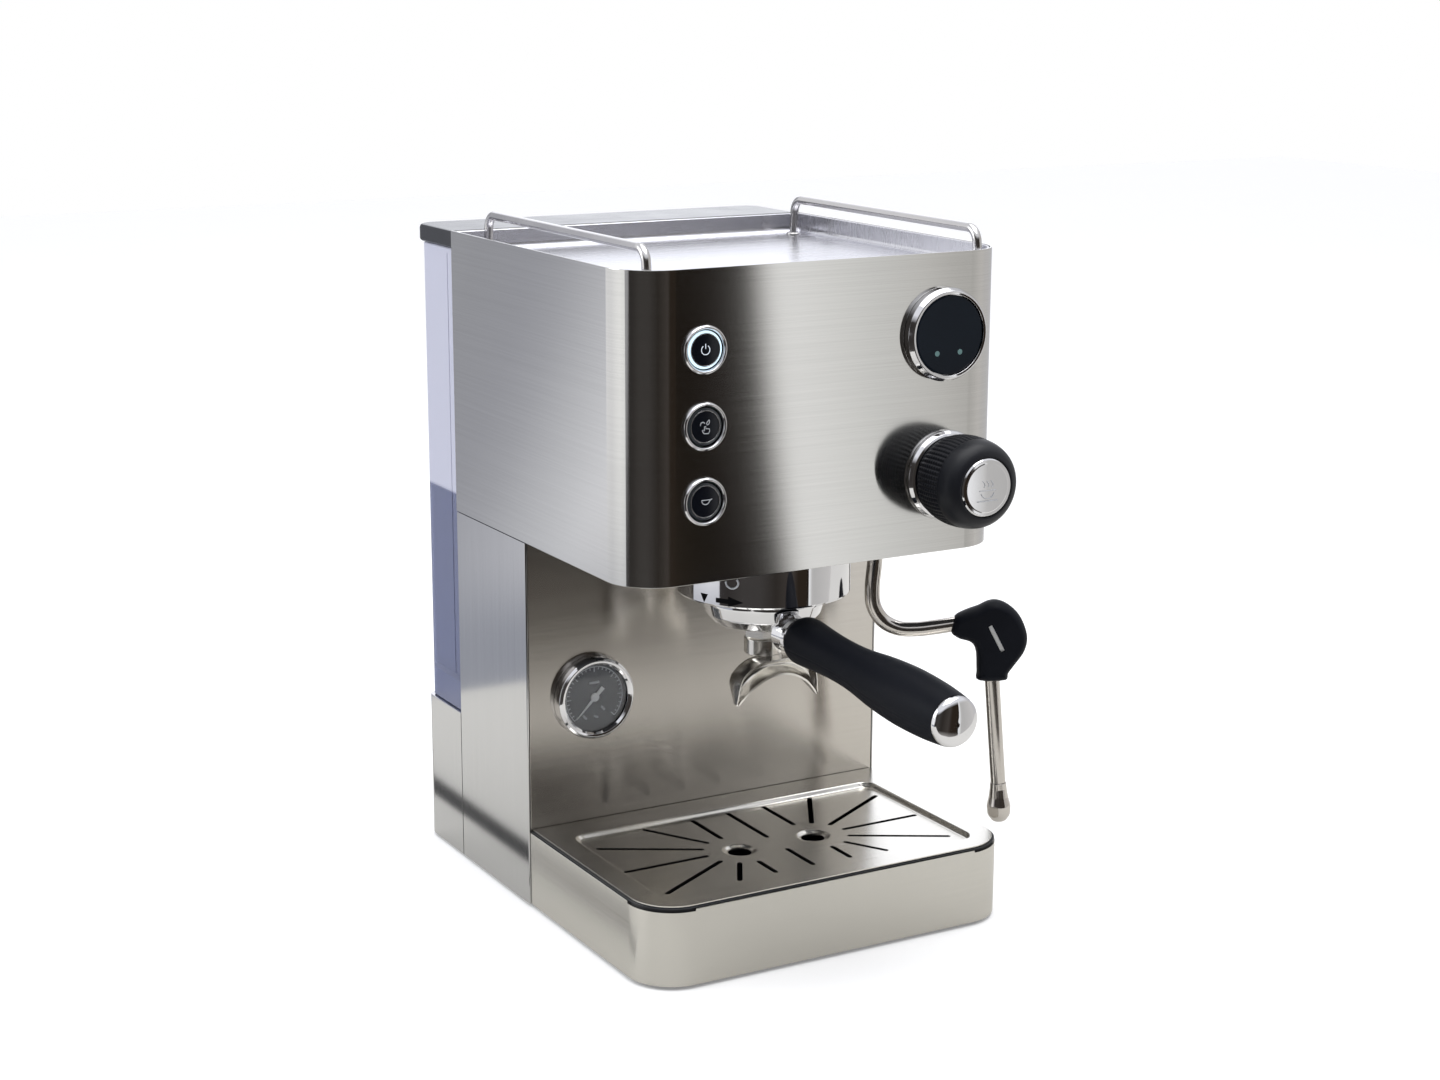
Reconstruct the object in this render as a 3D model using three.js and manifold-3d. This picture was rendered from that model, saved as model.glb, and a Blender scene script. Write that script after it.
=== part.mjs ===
// Home espresso machine: steel body, group with bayonet portafilter, steam wand, drip tray and rear water tank.
// Millimetres. +X is the user's right, +Y runs from the front to the back, +Z is up, z = 0 is the bench.
// Layout dimensions are counted from the machine's centre plane (x = 0) and the drip tray's front face (y = 0).
import * as THREE from 'three';
import { mergeVertices } from 'three/addons/utils/BufferGeometryUtils.js';
import Module from 'manifold-3d';

const wasm = await Module();
wasm.setup();

// ---- Driving dimensions ----
const BODY_HALF_WIDTH = 115;
const TRAY_HALF_WIDTH = 114.2;
const HEAD_FRONT = 19.5;
const HEAD_BOTTOM = 211.9;
const HEAD_TOP = 373.6;
const COLUMN_FRONT = 144.8;
const COLUMN_BACK = 236.5;
const TRAY_BACK = 144.4;
const TRAY_TOP = 46.2;
const TANK_FRONT = 237.5;
const TANK_BACK = 286.5;
const TANK_BOTTOM = 90.3;
const CORNER_RADIUS = 26;
const SHEET = 1.2;
const GAP = 0.3;

const GROUP_Y = 82.7;
const BUTTON_X = -73;
const BUTTON_HEIGHTS = [332.7, 293.6, 254.9];
const BUTTON_NAMES = ['power', 'single', 'double'];
const DISPLAY_X = 72;
const DISPLAY_Z = 330.5;
const KNOB_X = 75;
const KNOB_Z = 254;
const GAUGE_X = -74.5;
const GAUGE_Z = 119;
const WAND_X = 75;
const WAND_Y = 85;
const WAND_BALL_Z = 210;
const WAND_AZIMUTH = -30;
const RAIL_X = 100;
const HANDLE_DROOP = 2.9;
const FOOT_POSITIONS = {
  front_left: [-88, 30],
  front_right: [88, 30],
  rear_left: [-88, 262],
  rear_right: [88, 262],
};

// Distance from the layout's origin to the origin of the finished part: the middle of its bounding box.
const ORIGIN_X = 19.7;
const ORIGIN_Y = 92;

// ---- Materials ----
const finish = (color, roughness, metalness, opacity = 1) =>
  new THREE.MeshStandardMaterial({ color, roughness, metalness, opacity, transparent: opacity < 1 });
const STEEL = finish(0xb4aea4, 0.34, 1);
const CHROME = finish(0xdadadc, 0.06, 1);
const BLACK_PLASTIC = finish(0x15161a, 0.45, 0);
const GLOSS_BLACK = finish(0x08090c, 0.08, 0);
const RUBBER = finish(0x101218, 0.6, 0);
const TANK_PLASTIC = finish(0xb8bbdc, 0.15, 0, 0.45);
const CLEAR = finish(0xf2f5f8, 0.04, 0, 0.25);
const DIAL = finish(0x33363c, 0.5, 0);
const NEEDLE = finish(0xe8e8e4, 0.4, 0);
const BRASS = finish(0xb08d57, 0.3, 1);
const ALUMINIUM = finish(0xa9abad, 0.45, 1);
const SILICONE = finish(0xe4e4e0, 0.5, 0);
const BOARD_GREEN = finish(0x1e5a38, 0.5, 0);

// ---- Solid helpers ----
// Keeps only shared positions, with every face pointing out.
function closed(geometry) {
  const bare = new THREE.BufferGeometry();
  const source = geometry.index ? geometry.toNonIndexed() : geometry;
  bare.setAttribute('position', source.getAttribute('position').clone());
  const merged = mergeVertices(bare, 1e-4);
  const position = merged.getAttribute('position');
  const corner = (i) => new THREE.Vector3().fromBufferAttribute(position, i);
  const kept = [];
  let volume = 0;
  for (let i = 0; i < merged.index.count; i += 3) {
    const [a, b, c] = [0, 1, 2].map((k) => merged.index.getX(i + k));
    if (a === b || b === c || c === a) continue;
    kept.push([a, b, c]);
    volume += corner(a).dot(corner(b).cross(corner(c)));
  }
  const ordered = volume < 0 ? kept.map(([a, b, c]) => [a, c, b]) : kept;
  merged.setIndex(ordered.flat());
  return merged;
}

function toSolid(geometry) {
  const shape = closed(geometry);
  return new wasm.Manifold(new wasm.Mesh({
    numProp: 3,
    vertProperties: new Float32Array(shape.getAttribute('position').array),
    triVerts: new Uint32Array(shape.index.array),
  }));
}

function toGeometry(solid) {
  const mesh = solid.getMesh();
  const geometry = new THREE.BufferGeometry();
  geometry.setAttribute('position', new THREE.BufferAttribute(new Float32Array(mesh.vertProperties), 3));
  geometry.setIndex(new THREE.BufferAttribute(new Uint32Array(mesh.triVerts), 1));
  return geometry;
}

const join = (...shapes) => toGeometry(shapes.map(toSolid).reduce((a, b) => a.add(b)));
const cut = (shape, ...tools) => toGeometry(tools.map(toSolid).reduce((a, b) => a.subtract(b), toSolid(shape)));

const box = (x0, x1, y0, y1, z0, z1) =>
  new THREE.BoxGeometry(x1 - x0, y1 - y0, z1 - z0).translate((x0 + x1) / 2, (y0 + y1) / 2, (z0 + z1) / 2);

const upright = (x, y, radius, z0, z1, segments = 16) =>
  new THREE.CylinderGeometry(radius, radius, z1 - z0, segments).rotateX(Math.PI / 2).translate(x, y, (z0 + z1) / 2);

const facing = (x, z, radius, y0, y1, segments = 20) =>
  new THREE.CylinderGeometry(radius, radius, y1 - y0, segments).translate(x, (y0 + y1) / 2, z);

// A turned piece about +Z, from a profile of [radius, height] that starts and ends on the axis or closes on itself.
const turned = (profile, segments = 16) => {
  const points = profile.map(([radius, height]) => new THREE.Vector2(radius, height));
  return new THREE.LatheGeometry(points, segments).rotateX(Math.PI / 2);
};
const turnedRing = (profile, segments = 16) => turned([...profile, profile[0]], segments);

// The same piece turned to face the user: the profile's heights run towards -Y.
const towardsUser = (geometry) => geometry.rotateX(Math.PI / 2);

// Outline of a panel in plan, with its own radius for the front corners and for the back corners.
function planOutline(halfWidth, y0, y1, frontRadius, backRadius) {
  const s = new THREE.Shape();
  const corner = (x, y, radius, from) => {
    if (radius > 0) s.absarc(x, y, radius, from, from + Math.PI / 2, false);
    else s.lineTo(x, y);
  };
  s.moveTo(-halfWidth + frontRadius, y0);
  s.lineTo(halfWidth - frontRadius, y0);
  corner(halfWidth - frontRadius, y0 + frontRadius, frontRadius, -Math.PI / 2);
  corner(halfWidth - backRadius, y1 - backRadius, backRadius, 0);
  corner(-halfWidth + backRadius, y1 - backRadius, backRadius, Math.PI / 2);
  corner(-halfWidth + frontRadius, y0 + frontRadius, frontRadius, Math.PI);
  return s;
}

const extrude = (shape, z0, z1, curveSegments = 3) =>
  new THREE.ExtrudeGeometry(shape, { depth: z1 - z0, bevelEnabled: false, curveSegments }).translate(0, 0, z0);

const prism = (halfWidth, y0, y1, frontRadius, backRadius, z0, z1) =>
  extrude(planOutline(halfWidth, y0, y1, frontRadius, backRadius), z0, z1);

// A round bar along a smooth curve through the given points, its section a polygon of twice `arcs` sides.
function bar(points, radius, steps, arcs = 4) {
  const path = new THREE.CatmullRomCurve3(points.map((p) => new THREE.Vector3(...p)), false, 'centripetal');
  const circle = new THREE.Shape().absarc(0, 0, radius, 0, 2 * Math.PI, false);
  return new THREE.ExtrudeGeometry(circle, { steps, curveSegments: arcs, extrudePath: path, bevelEnabled: false });
}

// Points of a path with its corners rounded off.
function rounded(points, radius) {
  const out = [points[0]];
  for (let i = 1; i < points.length - 1; i++) {
    const here = new THREE.Vector3(...points[i]);
    const arriving = new THREE.Vector3(...points[i - 1]).sub(here);
    const leaving = new THREE.Vector3(...points[i + 1]).sub(here);
    const before = arriving.clone().setLength(radius).add(here);
    const after = leaving.clone().setLength(radius).add(here);
    out.push(arriving.setLength(radius * 1.4).add(here).toArray());
    for (const t of [0, 0.5, 1]) {
      const a = before.clone().lerp(here, t);
      const b = here.clone().lerp(after, t);
      out.push(a.lerp(b, t).toArray());
    }
    out.push(leaving.setLength(radius * 1.4).add(here).toArray());
  }
  out.push(points[points.length - 1]);
  return out;
}

const machine = new THREE.Group();
machine.name = 'espresso_machine';
function add(name, geometry, material, parent = machine) {
  const mesh = new THREE.Mesh(closed(geometry), material);
  mesh.name = name;
  parent.add(mesh);
  return mesh;
}
function place(x, y, z) {
  const holder = new THREE.Group();
  holder.position.set(x, y, z);
  machine.add(holder);
  return holder;
}

// ---- Base ----
const REAR_FOOT_HEIGHT = 5;
const panPockets = [-88, 88].map((x) => upright(x, 262, 11.3, 0, REAR_FOOT_HEIGHT));
add('base_pan', cut(
  join(prism(111.5, 4, 240, 22, 0, 5, 8), prism(114.6, 238, 288.5, 0, 8, 1.5, 9)),
  ...panPockets,
), BLACK_PLASTIC);
for (const [side, [x, y]] of Object.entries(FOOT_POSITIONS)) {
  add('foot_' + side, turned([[0, 0], [10, 0], [11, 1], [11, 4.7], [0, 4.7]], 14), RUBBER, place(x, y, 0));
}

// ---- Column ----
for (const [side, sign] of [['left', -1], ['right', 1]]) {
  const near = Math.min(sign * BODY_HALF_WIDTH, sign * (BODY_HALF_WIDTH - SHEET));
  const flange = Math.min(sign * (BODY_HALF_WIDTH - SHEET / 2), sign * 103);
  add('side_panel_' + side, join(
    box(near, near + SHEET, COLUMN_FRONT, COLUMN_BACK, 2, HEAD_BOTTOM - GAP),
    box(flange, flange + BODY_HALF_WIDTH - SHEET / 2 - 103, COLUMN_FRONT + 1.5, COLUMN_FRONT + 2.7, 8.4, 211.6),
  ), STEEL);
}
add('backsplash_panel', cut(
  box(-113.5, 113.5, COLUMN_FRONT, COLUMN_FRONT + SHEET, 8.3, HEAD_BOTTOM - GAP),
  facing(GAUGE_X, GAUGE_Z, 21, 140, 150, 24),
), STEEL);
add('rear_panel', cut(
  box(-113.5, 113.5, 235.2, 236.4, 9.3, HEAD_TOP - 0.4),
  box(-22, 22, 230, 240, 42, 72),
), BLACK_PLASTIC);

// ---- Rear base: carries the tank and the power inlet ----
const INLET_X = -70;
const INLET_Z = 40;
add('rear_base_housing', cut(
  prism(BODY_HALF_WIDTH, 237, 287.4, 0, 8, 9.3, 90),
  prism(BODY_HALF_WIDTH - SHEET, 230, 287.4 - SHEET, 0, 8 - SHEET, 5, 90 - SHEET),
  upright(0, 262, 14, 80, 95),
  box(INLET_X - 13.8, INLET_X + 13.8, 280, 292, INLET_Z - 10.2, INLET_Z + 10.2),
), STEEL);
const pins = [[-7, -2], [7, -2], [0, 3]].map(([dx, dz]) =>
  box(INLET_X + dx - 1, INLET_X + dx + 1, 270, 286, INLET_Z + dz - 2.5, INLET_Z + dz + 2.5));
add('power_inlet', join(cut(
  join(
    box(INLET_X - 15.5, INLET_X + 15.5, 287.7, 289.7, INLET_Z - 12, INLET_Z + 12),
    box(INLET_X - 13.5, INLET_X + 13.5, 268, 288, INLET_Z - 9.9, INLET_Z + 9.9),
  ),
  box(INLET_X - 12, INLET_X + 12, 271.5, 295, INLET_Z - 8.2, INLET_Z + 8.2),
), ...pins), BLACK_PLASTIC);

// ---- Head ----
add('head_shell', cut(
  prism(BODY_HALF_WIDTH, HEAD_FRONT, COLUMN_BACK, CORNER_RADIUS, 0, HEAD_BOTTOM, HEAD_TOP),
  prism(BODY_HALF_WIDTH - SHEET, HEAD_FRONT + SHEET, 250, CORNER_RADIUS - SHEET, 0, 200, 390),
  ...BUTTON_HEIGHTS.map((z) => facing(BUTTON_X, z, 10.6, 10, 30)),
  facing(DISPLAY_X, DISPLAY_Z, 22.1, 10, 30, 24),
  facing(KNOB_X, KNOB_Z, 8, 10, 30),
), STEEL);
const HEAD_INSIDE_HALF = BODY_HALF_WIDTH - SHEET - GAP;
add('head_bottom_plate', cut(
  prism(HEAD_INSIDE_HALF, 21, 144.4, CORNER_RADIUS - SHEET - GAP, 0, 212.2, 214.2),
  upright(0, GROUP_Y, 48.5, 205, 220, 28),
  upright(WAND_X, WAND_Y, 11.5, 205, 220, 24),
), BLACK_PLASTIC);
add('cup_tray', cut(
  prism(HEAD_INSIDE_HALF, 21, 234.9, CORNER_RADIUS - SHEET - GAP, 0, 361, HEAD_TOP - 0.4),
  prism(HEAD_INSIDE_HALF - SHEET, 21 + SHEET, 234.9 - SHEET, CORNER_RADIUS - 2 * SHEET - GAP, 3, 362.2, 390),
), STEEL);
for (const [side, sign] of [['left', -1], ['right', 1]]) {
  const x = sign * RAIL_X;
  const corners = [[x, 29, 362.5], [x, 31, 383.6], [x, 217, 383.6], [x, 219, 362.5]];
  add('rail_' + side, bar(rounded(corners, 8), 2.5, 22), CHROME);
}

// ---- Controls on the head's front ----
BUTTON_HEIGHTS.forEach((z, i) => {
  const spot = place(BUTTON_X, HEAD_FRONT, z);
  add('button_bezel_' + BUTTON_NAMES[i], towardsUser(turnedRing([
    [10.2, -7], [10.2, 0.3], [12.5, 0.3], [12.3, 1.6], [11.4, 2.5], [10.1, 2.1], [9.2, 1.1], [9.2, -7],
  ], 18)), CHROME, spot);
  add('button_cap_' + BUTTON_NAMES[i], towardsUser(turned([
    [0, -11], [3, -11], [3, -6.5], [8.8, -6.5], [8.8, 0.9], [8.2, 1.5], [0, 1.5],
  ], 18)), GLOSS_BLACK, spot);
});
const boardBack = HEAD_FRONT + 22;
add('control_board', join(
  box(-98, -50, boardBack, boardBack + 1.6, 238, 350),
  ...BUTTON_HEIGHTS.map((z) => box(BUTTON_X - 6, BUTTON_X + 6, HEAD_FRONT + 13, boardBack + 0.5, z - 6, z + 6)),
  box(-94, -84, boardBack + 1, boardBack + 12, 270, 290),
  box(-70, -54, boardBack + 1, boardBack + 14, 300, 322),
), BOARD_GREEN);

const displaySpot = place(DISPLAY_X, HEAD_FRONT, DISPLAY_Z);
add('display_bezel', towardsUser(turnedRing([
  [21.7, -6], [21.7, 0.3], [25, 0.3], [25, 4], [23.2, 6.7], [21.6, 6.4], [21.5, 2.4],
  [20.3, 2.4], [20.3, -6],
], 24)), CHROME, displaySpot);
add('display_glass', towardsUser(turned([
  [0, -5], [19.9, -5], [19.9, 2.7], [21.2, 2.7], [21.2, 5.6], [20.9, 5.9], [0, 5.9],
], 24)), GLOSS_BLACK, displaySpot);

const knobSpot = place(KNOB_X, HEAD_FRONT, KNOB_Z);
add('knob_collar', towardsUser(turnedRing([
  [7.7, -5], [7.7, 0.3], [24.5, 0.3], [24.5, 2.2], [23.4, 4], [22, 4.6], [5, 4.6], [5, -5],
], 22)), CHROME, knobSpot);
add('steam_knob', towardsUser(turned([
  [0, 24], [4.4, 24], [4.4, 5], [21.2, 5], [24, 11], [24.7, 19], [23.9, 30], [20.5, 36.8], [16, 38.6],
  [16, 35.5], [0, 35.5],
], 22)), RUBBER, knobSpot);
add('knob_cap', towardsUser(turned([
  [0, 35.8], [15.6, 35.8], [15.6, 38.4], [14.8, 39.1], [9, 39.8], [0, 40.1],
], 22)), CHROME, knobSpot);
add('valve_spindle', towardsUser(turned([[0, -37], [4, -37], [4, 23.6], [0, 23.6]], 12)), BRASS, knobSpot);
add('steam_valve_body', cut(
  join(
    box(KNOB_X - 13, KNOB_X + 13, 42, 74, KNOB_Z - 13, KNOB_Z + 13),
    facing(KNOB_X, KNOB_Z, 9, 34, 44, 12),
  ),
  facing(KNOB_X, KNOB_Z, 4.5, 30, 60, 12),
), BRASS);

// ---- Pressure gauge on the backsplash ----
const gaugeSpot = place(GAUGE_X, COLUMN_FRONT, GAUGE_Z);
add('gauge_bezel', towardsUser(turnedRing([
  [20.9, 0.3], [24, 0.3], [24, 3.6], [23.4, 6.3], [22, 7.5], [20.6, 7.3], [19.4, 6.2], [19.4, 5.7], [20.9, 5.7],
], 24)), CHROME, gaugeSpot);
add('gauge_case', towardsUser(turned([
  [0, -34], [4.5, -34], [4.5, -26], [20.4, -26], [20.4, 2.2], [1.4, 2.2], [1.4, 1.2], [0, 1.2],
], 24)), DIAL, gaugeSpot);
const NEEDLE_TILT = 225;
const hub = upright(0, 0, 2.4, 2.8, 3.6, 16);
const needleArm = box(-1, 15.5, -0.8, 0.8, 2.9, 3.5);
const needleTail = box(-7, 1, -1.3, 1.3, 2.9, 3.5);
const needlePin = upright(0, 0, 1, 1.5, 3, 12);
add('gauge_needle', towardsUser(join(hub, needleArm, needleTail, needlePin)
  .rotateZ(THREE.MathUtils.degToRad(-NEEDLE_TILT))), NEEDLE, gaugeSpot);
add('gauge_lens', towardsUser(turned([[0, 4.2], [20.5, 4.2], [20.5, 5.4], [0, 5.4]], 24)), CLEAR, gaugeSpot);

// ---- Group: collar, casting with a bayonet, gasket and shower screen ----
const group = place(0, GROUP_Y, 0);
add('group_collar', turnedRing([
  [44.8, 186.6], [45.4, 186], [47.2, 186.2], [47.8, 187.2], [47.8, 222], [44.8, 222],
], 28), CHROME, group);
const LUG_TRAVEL = 70;
const LUG_HALF_ANGLE = 17;
const LEDGE_HALF_GAP = 21;
// A wedge-shaped sector about the group's axis.
function sector(inner, outer, middle, halfAngle, z0, z1) {
  const from = THREE.MathUtils.degToRad(middle - halfAngle);
  const to = THREE.MathUtils.degToRad(middle + halfAngle);
  const s = new THREE.Shape();
  s.absarc(0, 0, outer, from, to, false);
  s.absarc(0, 0, inner, to, from, true);
  return extrude(s, z0, z1, 3);
}
add('group_head', cut(
  turnedRing([
    [32.6, 187.5], [44.3, 187.5], [44.3, 222], [3.4, 222], [3.4, 206.8], [33.4, 206.8], [33.4, 198.4],
    [36.5, 198.4], [36.5, 191.7], [32.6, 191.7],
  ], 24),
  ...[0, 180].map((a) => sector(30, 36.5, a - LUG_TRAVEL, LEDGE_HALF_GAP, 186, 192)),
), ALUMINIUM, group);
add('group_gasket', turnedRing([[26.8, 200.9], [33, 200.9], [33, 206.5], [26.8, 206.5]], 20), RUBBER, group);
const showerHoles = [...Array(6).keys()].map((i) => {
  const a = THREE.MathUtils.degToRad(60 * i);
  return upright(16 * Math.cos(a), 16 * Math.sin(a), 1.5, 195, 210, 5);
});
add('shower_screen', cut(turned([
  [0, 198.4], [4.6, 198.4], [4.6, 200.6], [25.4, 200.6], [26.4, 201.8], [26.4, 206.4], [25.4, 206.4],
  [25.4, 201.8], [3, 201.8], [3, 214], [0, 214],
], 18), ...showerHoles), STEEL, group);

// ---- Inside the head and column ----
add('boiler', turned([
  [0, 222.3], [34, 222.3], [40, 228], [40, 286], [34, 296], [0, 300],
], 16), ALUMINIUM, group);
const pumpSpot = place(-5, 190, 70);
add('pump', join(
  turned([
    [0, -45], [5, -45], [5, -34], [14, -34], [14, -20], [20, -20], [20, 24], [14, 24], [14, 34], [5, 34],
    [5, 45], [0, 45],
  ], 14).rotateY(Math.PI / 2),
), BRASS, pumpSpot);
add('tank_hose', bar([
  [0, 262, 96], [0, 262, 78], [0, 256, 62], [-6, 240, 56], [-22, 228, 54], [-50, 222, 56], [-74, 212, 62],
  [-78, 198, 68], [-68, 190, 70], [-50.4, 190, 70],
], 3.5, 20, 3), SILICONE);
add('pump_to_boiler_pipe', bar([
  [40.4, 190, 70], [52, 190, 71], [62, 190, 84], [63, 190, 120], [63, 190, 215], [62, 170, 238],
  [62, 120, 251], [60, 92, 252], [54, 83, 252], [43.8, 82.7, 252],
], 2, 20, 2), SILICONE);
add('boiler_to_valve_pipe', bar(rounded([
  [12, 100, 300.4], [12, 100, 318], [75, 62, 318], [75, 62, 267.4],
], 12), 2.5, 16, 3), BRASS);
add('steam_pipe', bar([
  [75, 58, 240.6], [75, 58, 234], [75, 66, 227], [75, 78, 224], [75, 85, 221], [75, 85, 217],
], 2.5, 10, 3), BRASS);

// ---- Portafilter, locked straight to the front ----
const droop = THREE.MathUtils.degToRad(HANDLE_DROOP);
const HANDLE_START = 41.5;
const HANDLE_LENGTH = 142;
const HANDLE_Z = 167.3;
// Turns a piece about +Z into one along the handle: heights run away from the group's axis.
const alongHandle = (geometry) =>
  geometry.rotateX(Math.PI / 2 + droop).translate(0, -HANDLE_START * Math.cos(droop), HANDLE_Z);
const bowl = turnedRing([
  [4, 166.5], [20, 166.5], [27.5, 169], [32, 174], [34.2, 181], [34.5, 186.9], [32, 187.1], [32, 199.2],
  [27.4, 199.2], [27.4, 180], [24, 172], [4, 169.5],
], 24);
const lugs = [0, 180].map((a) => sector(31.5, 36, a, LUG_HALF_ANGLE, 192, 196.5));
const neck = alongHandle(turned([
  [0, -14], [7.5, -14], [7.5, -2], [9.5, -1], [9.5, -0.3], [4, -0.3], [4, 34], [0, 34],
], 12));
const bowlCore = turned([[0, 169.5], [24, 172], [27.4, 180], [27.4, 205], [0, 205]], 24);
add('portafilter_body', cut(join(bowl, neck, ...lugs), bowlCore), CHROME, group);
const basketHoles = [0, 60, 120, 180, 240, 300].map((a) => {
  const t = THREE.MathUtils.degToRad(a);
  return upright(12 * Math.cos(t), 12 * Math.sin(t), 1, 170, 180, 5);
});
add('filter_basket', cut(turnedRing([
  [0, 175.6], [23, 175.6], [26.4, 186], [26.4, 199.5], [29.8, 199.5], [29.8, 200.2], [25.7, 200.2],
  [25.7, 186.2], [22.4, 176.3], [0, 176.3],
], 18), ...basketHoles), STEEL, group);
add('portafilter_handle', alongHandle(turned([
  [0, 35], [4.4, 35], [4.4, 0], [11, 0], [13, 3], [12.8, 10], [11.6, 34], [12.6, 55], [14.6, 76],
  [15.6, 100], [15.2, 122], [13.4, 141.7], [0, 141.7],
], 20)), RUBBER, group);
add('handle_end_cap', alongHandle(turned([
  [0, HANDLE_LENGTH], [13.2, HANDLE_LENGTH], [12.6, HANDLE_LENGTH + 2.6], [10.2, HANDLE_LENGTH + 4.6],
  [5.5, HANDLE_LENGTH + 5.8], [0, HANDLE_LENGTH + 6.2],
], 20)), CHROME, group);

// Double spout: a hub under the bowl and two channels, open to the front, that arch sideways and down.
const SPOUT_TOP = 141.5;
const CHANNEL_TAPER = 0.6;
// Section of a channel: [from front to back, outwards from the underside of the arch].
const CHANNEL_SECTION = [[-12, 0], [12, 0], [12, 9], [-12, 9], [-12, 7.6], [10.6, 7.6], [10.6, 1.4], [-12, 1.4]];
const CHANNEL_ENDS = [[0, 1, 6], [0, 6, 7], [1, 2, 5], [1, 5, 6], [2, 3, 4], [2, 4, 5]];
const channel = (sign) => {
  const path = new THREE.CatmullRomCurve3([
    new THREE.Vector3(0, -8.2, 0), new THREE.Vector3(sign * 8, -8.4, -1.3), new THREE.Vector3(sign * 16, -9.6, -5.7),
    new THREE.Vector3(sign * 21.4, -11, -10.6), new THREE.Vector3(sign * 25.3, -12.2, -15),
  ]);
  const steps = 7;
  const rows = [...Array(steps + 1).keys()].map((i) => {
    const p = path.getPointAt(i / steps);
    const along = path.getTangentAt(i / steps);
    const out = new THREE.Vector3(-along.z * sign, 0, along.x * sign).normalize();
    const taper = 1 - CHANNEL_TAPER * (i / steps) ** 2;
    return CHANNEL_SECTION.map(([depth, height]) => new THREE.Vector3(
      p.x + out.x * height * taper, p.y + depth * taper, p.z + out.z * height * taper,
    ));
  });
  // The first section lies flat on the middle plane, so that both channels share it.
  CHANNEL_SECTION.forEach(([depth, height], j) => rows[0][j].set(0, -8.2 + depth, height));
  const triangles = [];
  for (let i = 0; i < steps; i++) {
    for (let j = 0; j < CHANNEL_SECTION.length; j++) {
      const k = (j + 1) % CHANNEL_SECTION.length;
      triangles.push(rows[i][j], rows[i + 1][j], rows[i + 1][k], rows[i][j], rows[i + 1][k], rows[i][k]);
    }
  }
  for (const [a, b, c] of CHANNEL_ENDS) {
    triangles.push(rows[0][a], rows[0][b], rows[0][c]);
    triangles.push(rows[steps][a], rows[steps][c], rows[steps][b]);
  }
  return new THREE.BufferGeometry().setFromPoints(triangles).translate(0, 0, SPOUT_TOP);
};
add('portafilter_spout', cut(
  join(
    channel(-1),
    channel(1),
    upright(0, 0, 10.4, 149.3, 159, 20),
    upright(0, 0, 11, 159, 166.2, 6),
    upright(0, 0, 3.6, 160, 172, 12),
  ),
  upright(0, 0, 2.4, 145, 180, 12),
), CHROME, group);

// ---- Steam wand on a ball joint ----
const wandSpot = place(WAND_X, WAND_Y, 0);
add('wand_nut', turnedRing([
  [6.9, 203], [8.6, 203], [10.6, 204.5], [10.6, 216.6], [9, 216.6], [9, 204.4], [6.9, 204.2],
], 14), CHROME, wandSpot);
const ballSocket = new THREE.SphereGeometry(6.9, 12, 7).translate(0, 0, WAND_BALL_Z);
add('wand_seat', cut(
  turnedRing([[5.9, 204.7], [8.7, 204.7], [8.7, 215.6], [5.9, 215.6]], 14),
  ballSocket,
), SILICONE, wandSpot);
const wandPlane = new THREE.Group();
wandPlane.rotation.z = THREE.MathUtils.degToRad(WAND_AZIMUTH);
wandSpot.add(wandPlane);
const PIPE_RADIUS = 4.3;
const wandPoints = [
  [0, 0, 209], [0, 0, 200], [-0.5, 0, 190], [-1.5, 0, 177], [-0.5, 0, 166], [5, 0, 157.4], [14, 0, 153],
  [24, 0, 152.6], [34, 0, 153.8], [45, 0, 155.6], [55, 0, 157.4], [61.5, 0, 156.5], [65.4, 0, 151],
  [66.4, 0, 142], [67.2, 0, 130], [68, 0, 121], [70.6, 0, 90], [73, 0, 61.6],
];
const ball = new THREE.SphereGeometry(6.3, 12, 8).translate(0, 0, WAND_BALL_Z);
const wandBar = (radius) => bar(wandPoints, radius, 28, 4);
add('wand_pipe', join(ball, wandBar(PIPE_RADIUS)), STEEL, wandPlane);
const gripOutline = new THREE.Shape();
[
  [44.5, 149.6], [43, 153], [44, 157.5], [46.6, 161.2], [52.4, 164], [58.8, 166.4], [64, 169], [69.3, 169.9],
  [75.8, 167.2], [82.2, 161.2], [86, 152.6], [87, 145.9], [85, 139.2], [80.4, 132.5], [76.8, 127.4],
  [75, 123], [60, 122.9], [59, 128], [58.4, 138], [56.8, 143.3], [53.8, 146], [48.6, 147.2],
].forEach(([s, z], i) => (i ? gripOutline.lineTo(s, z) : gripOutline.moveTo(s, z)));
const GRIP_HALF = 8;
const gripBlank = new THREE.ExtrudeGeometry(gripOutline, {
  depth: 2 * GRIP_HALF - 8, bevelEnabled: true, bevelThickness: 4, bevelSize: 3, bevelOffset: -3, bevelSegments: 1,
}).rotateX(Math.PI / 2).translate(0, GRIP_HALF - 4, 0);
add('wand_grip', cut(gripBlank, wandBar(PIPE_RADIUS + GAP)), RUBBER, wandPlane);
const tipLean = Math.atan2(3.2, 62);
add('wand_tip', turned([
  [0, 0.3], [4.7, 0.3], [5, 6], [6.6, 12], [7, 16.5], [6, 21], [3.6, 23.6], [0, 24.4],
], 14).rotateX(Math.PI).rotateY(-tipLean).translate(73, 0, 61.6), STEEL, wandPlane);

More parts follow.
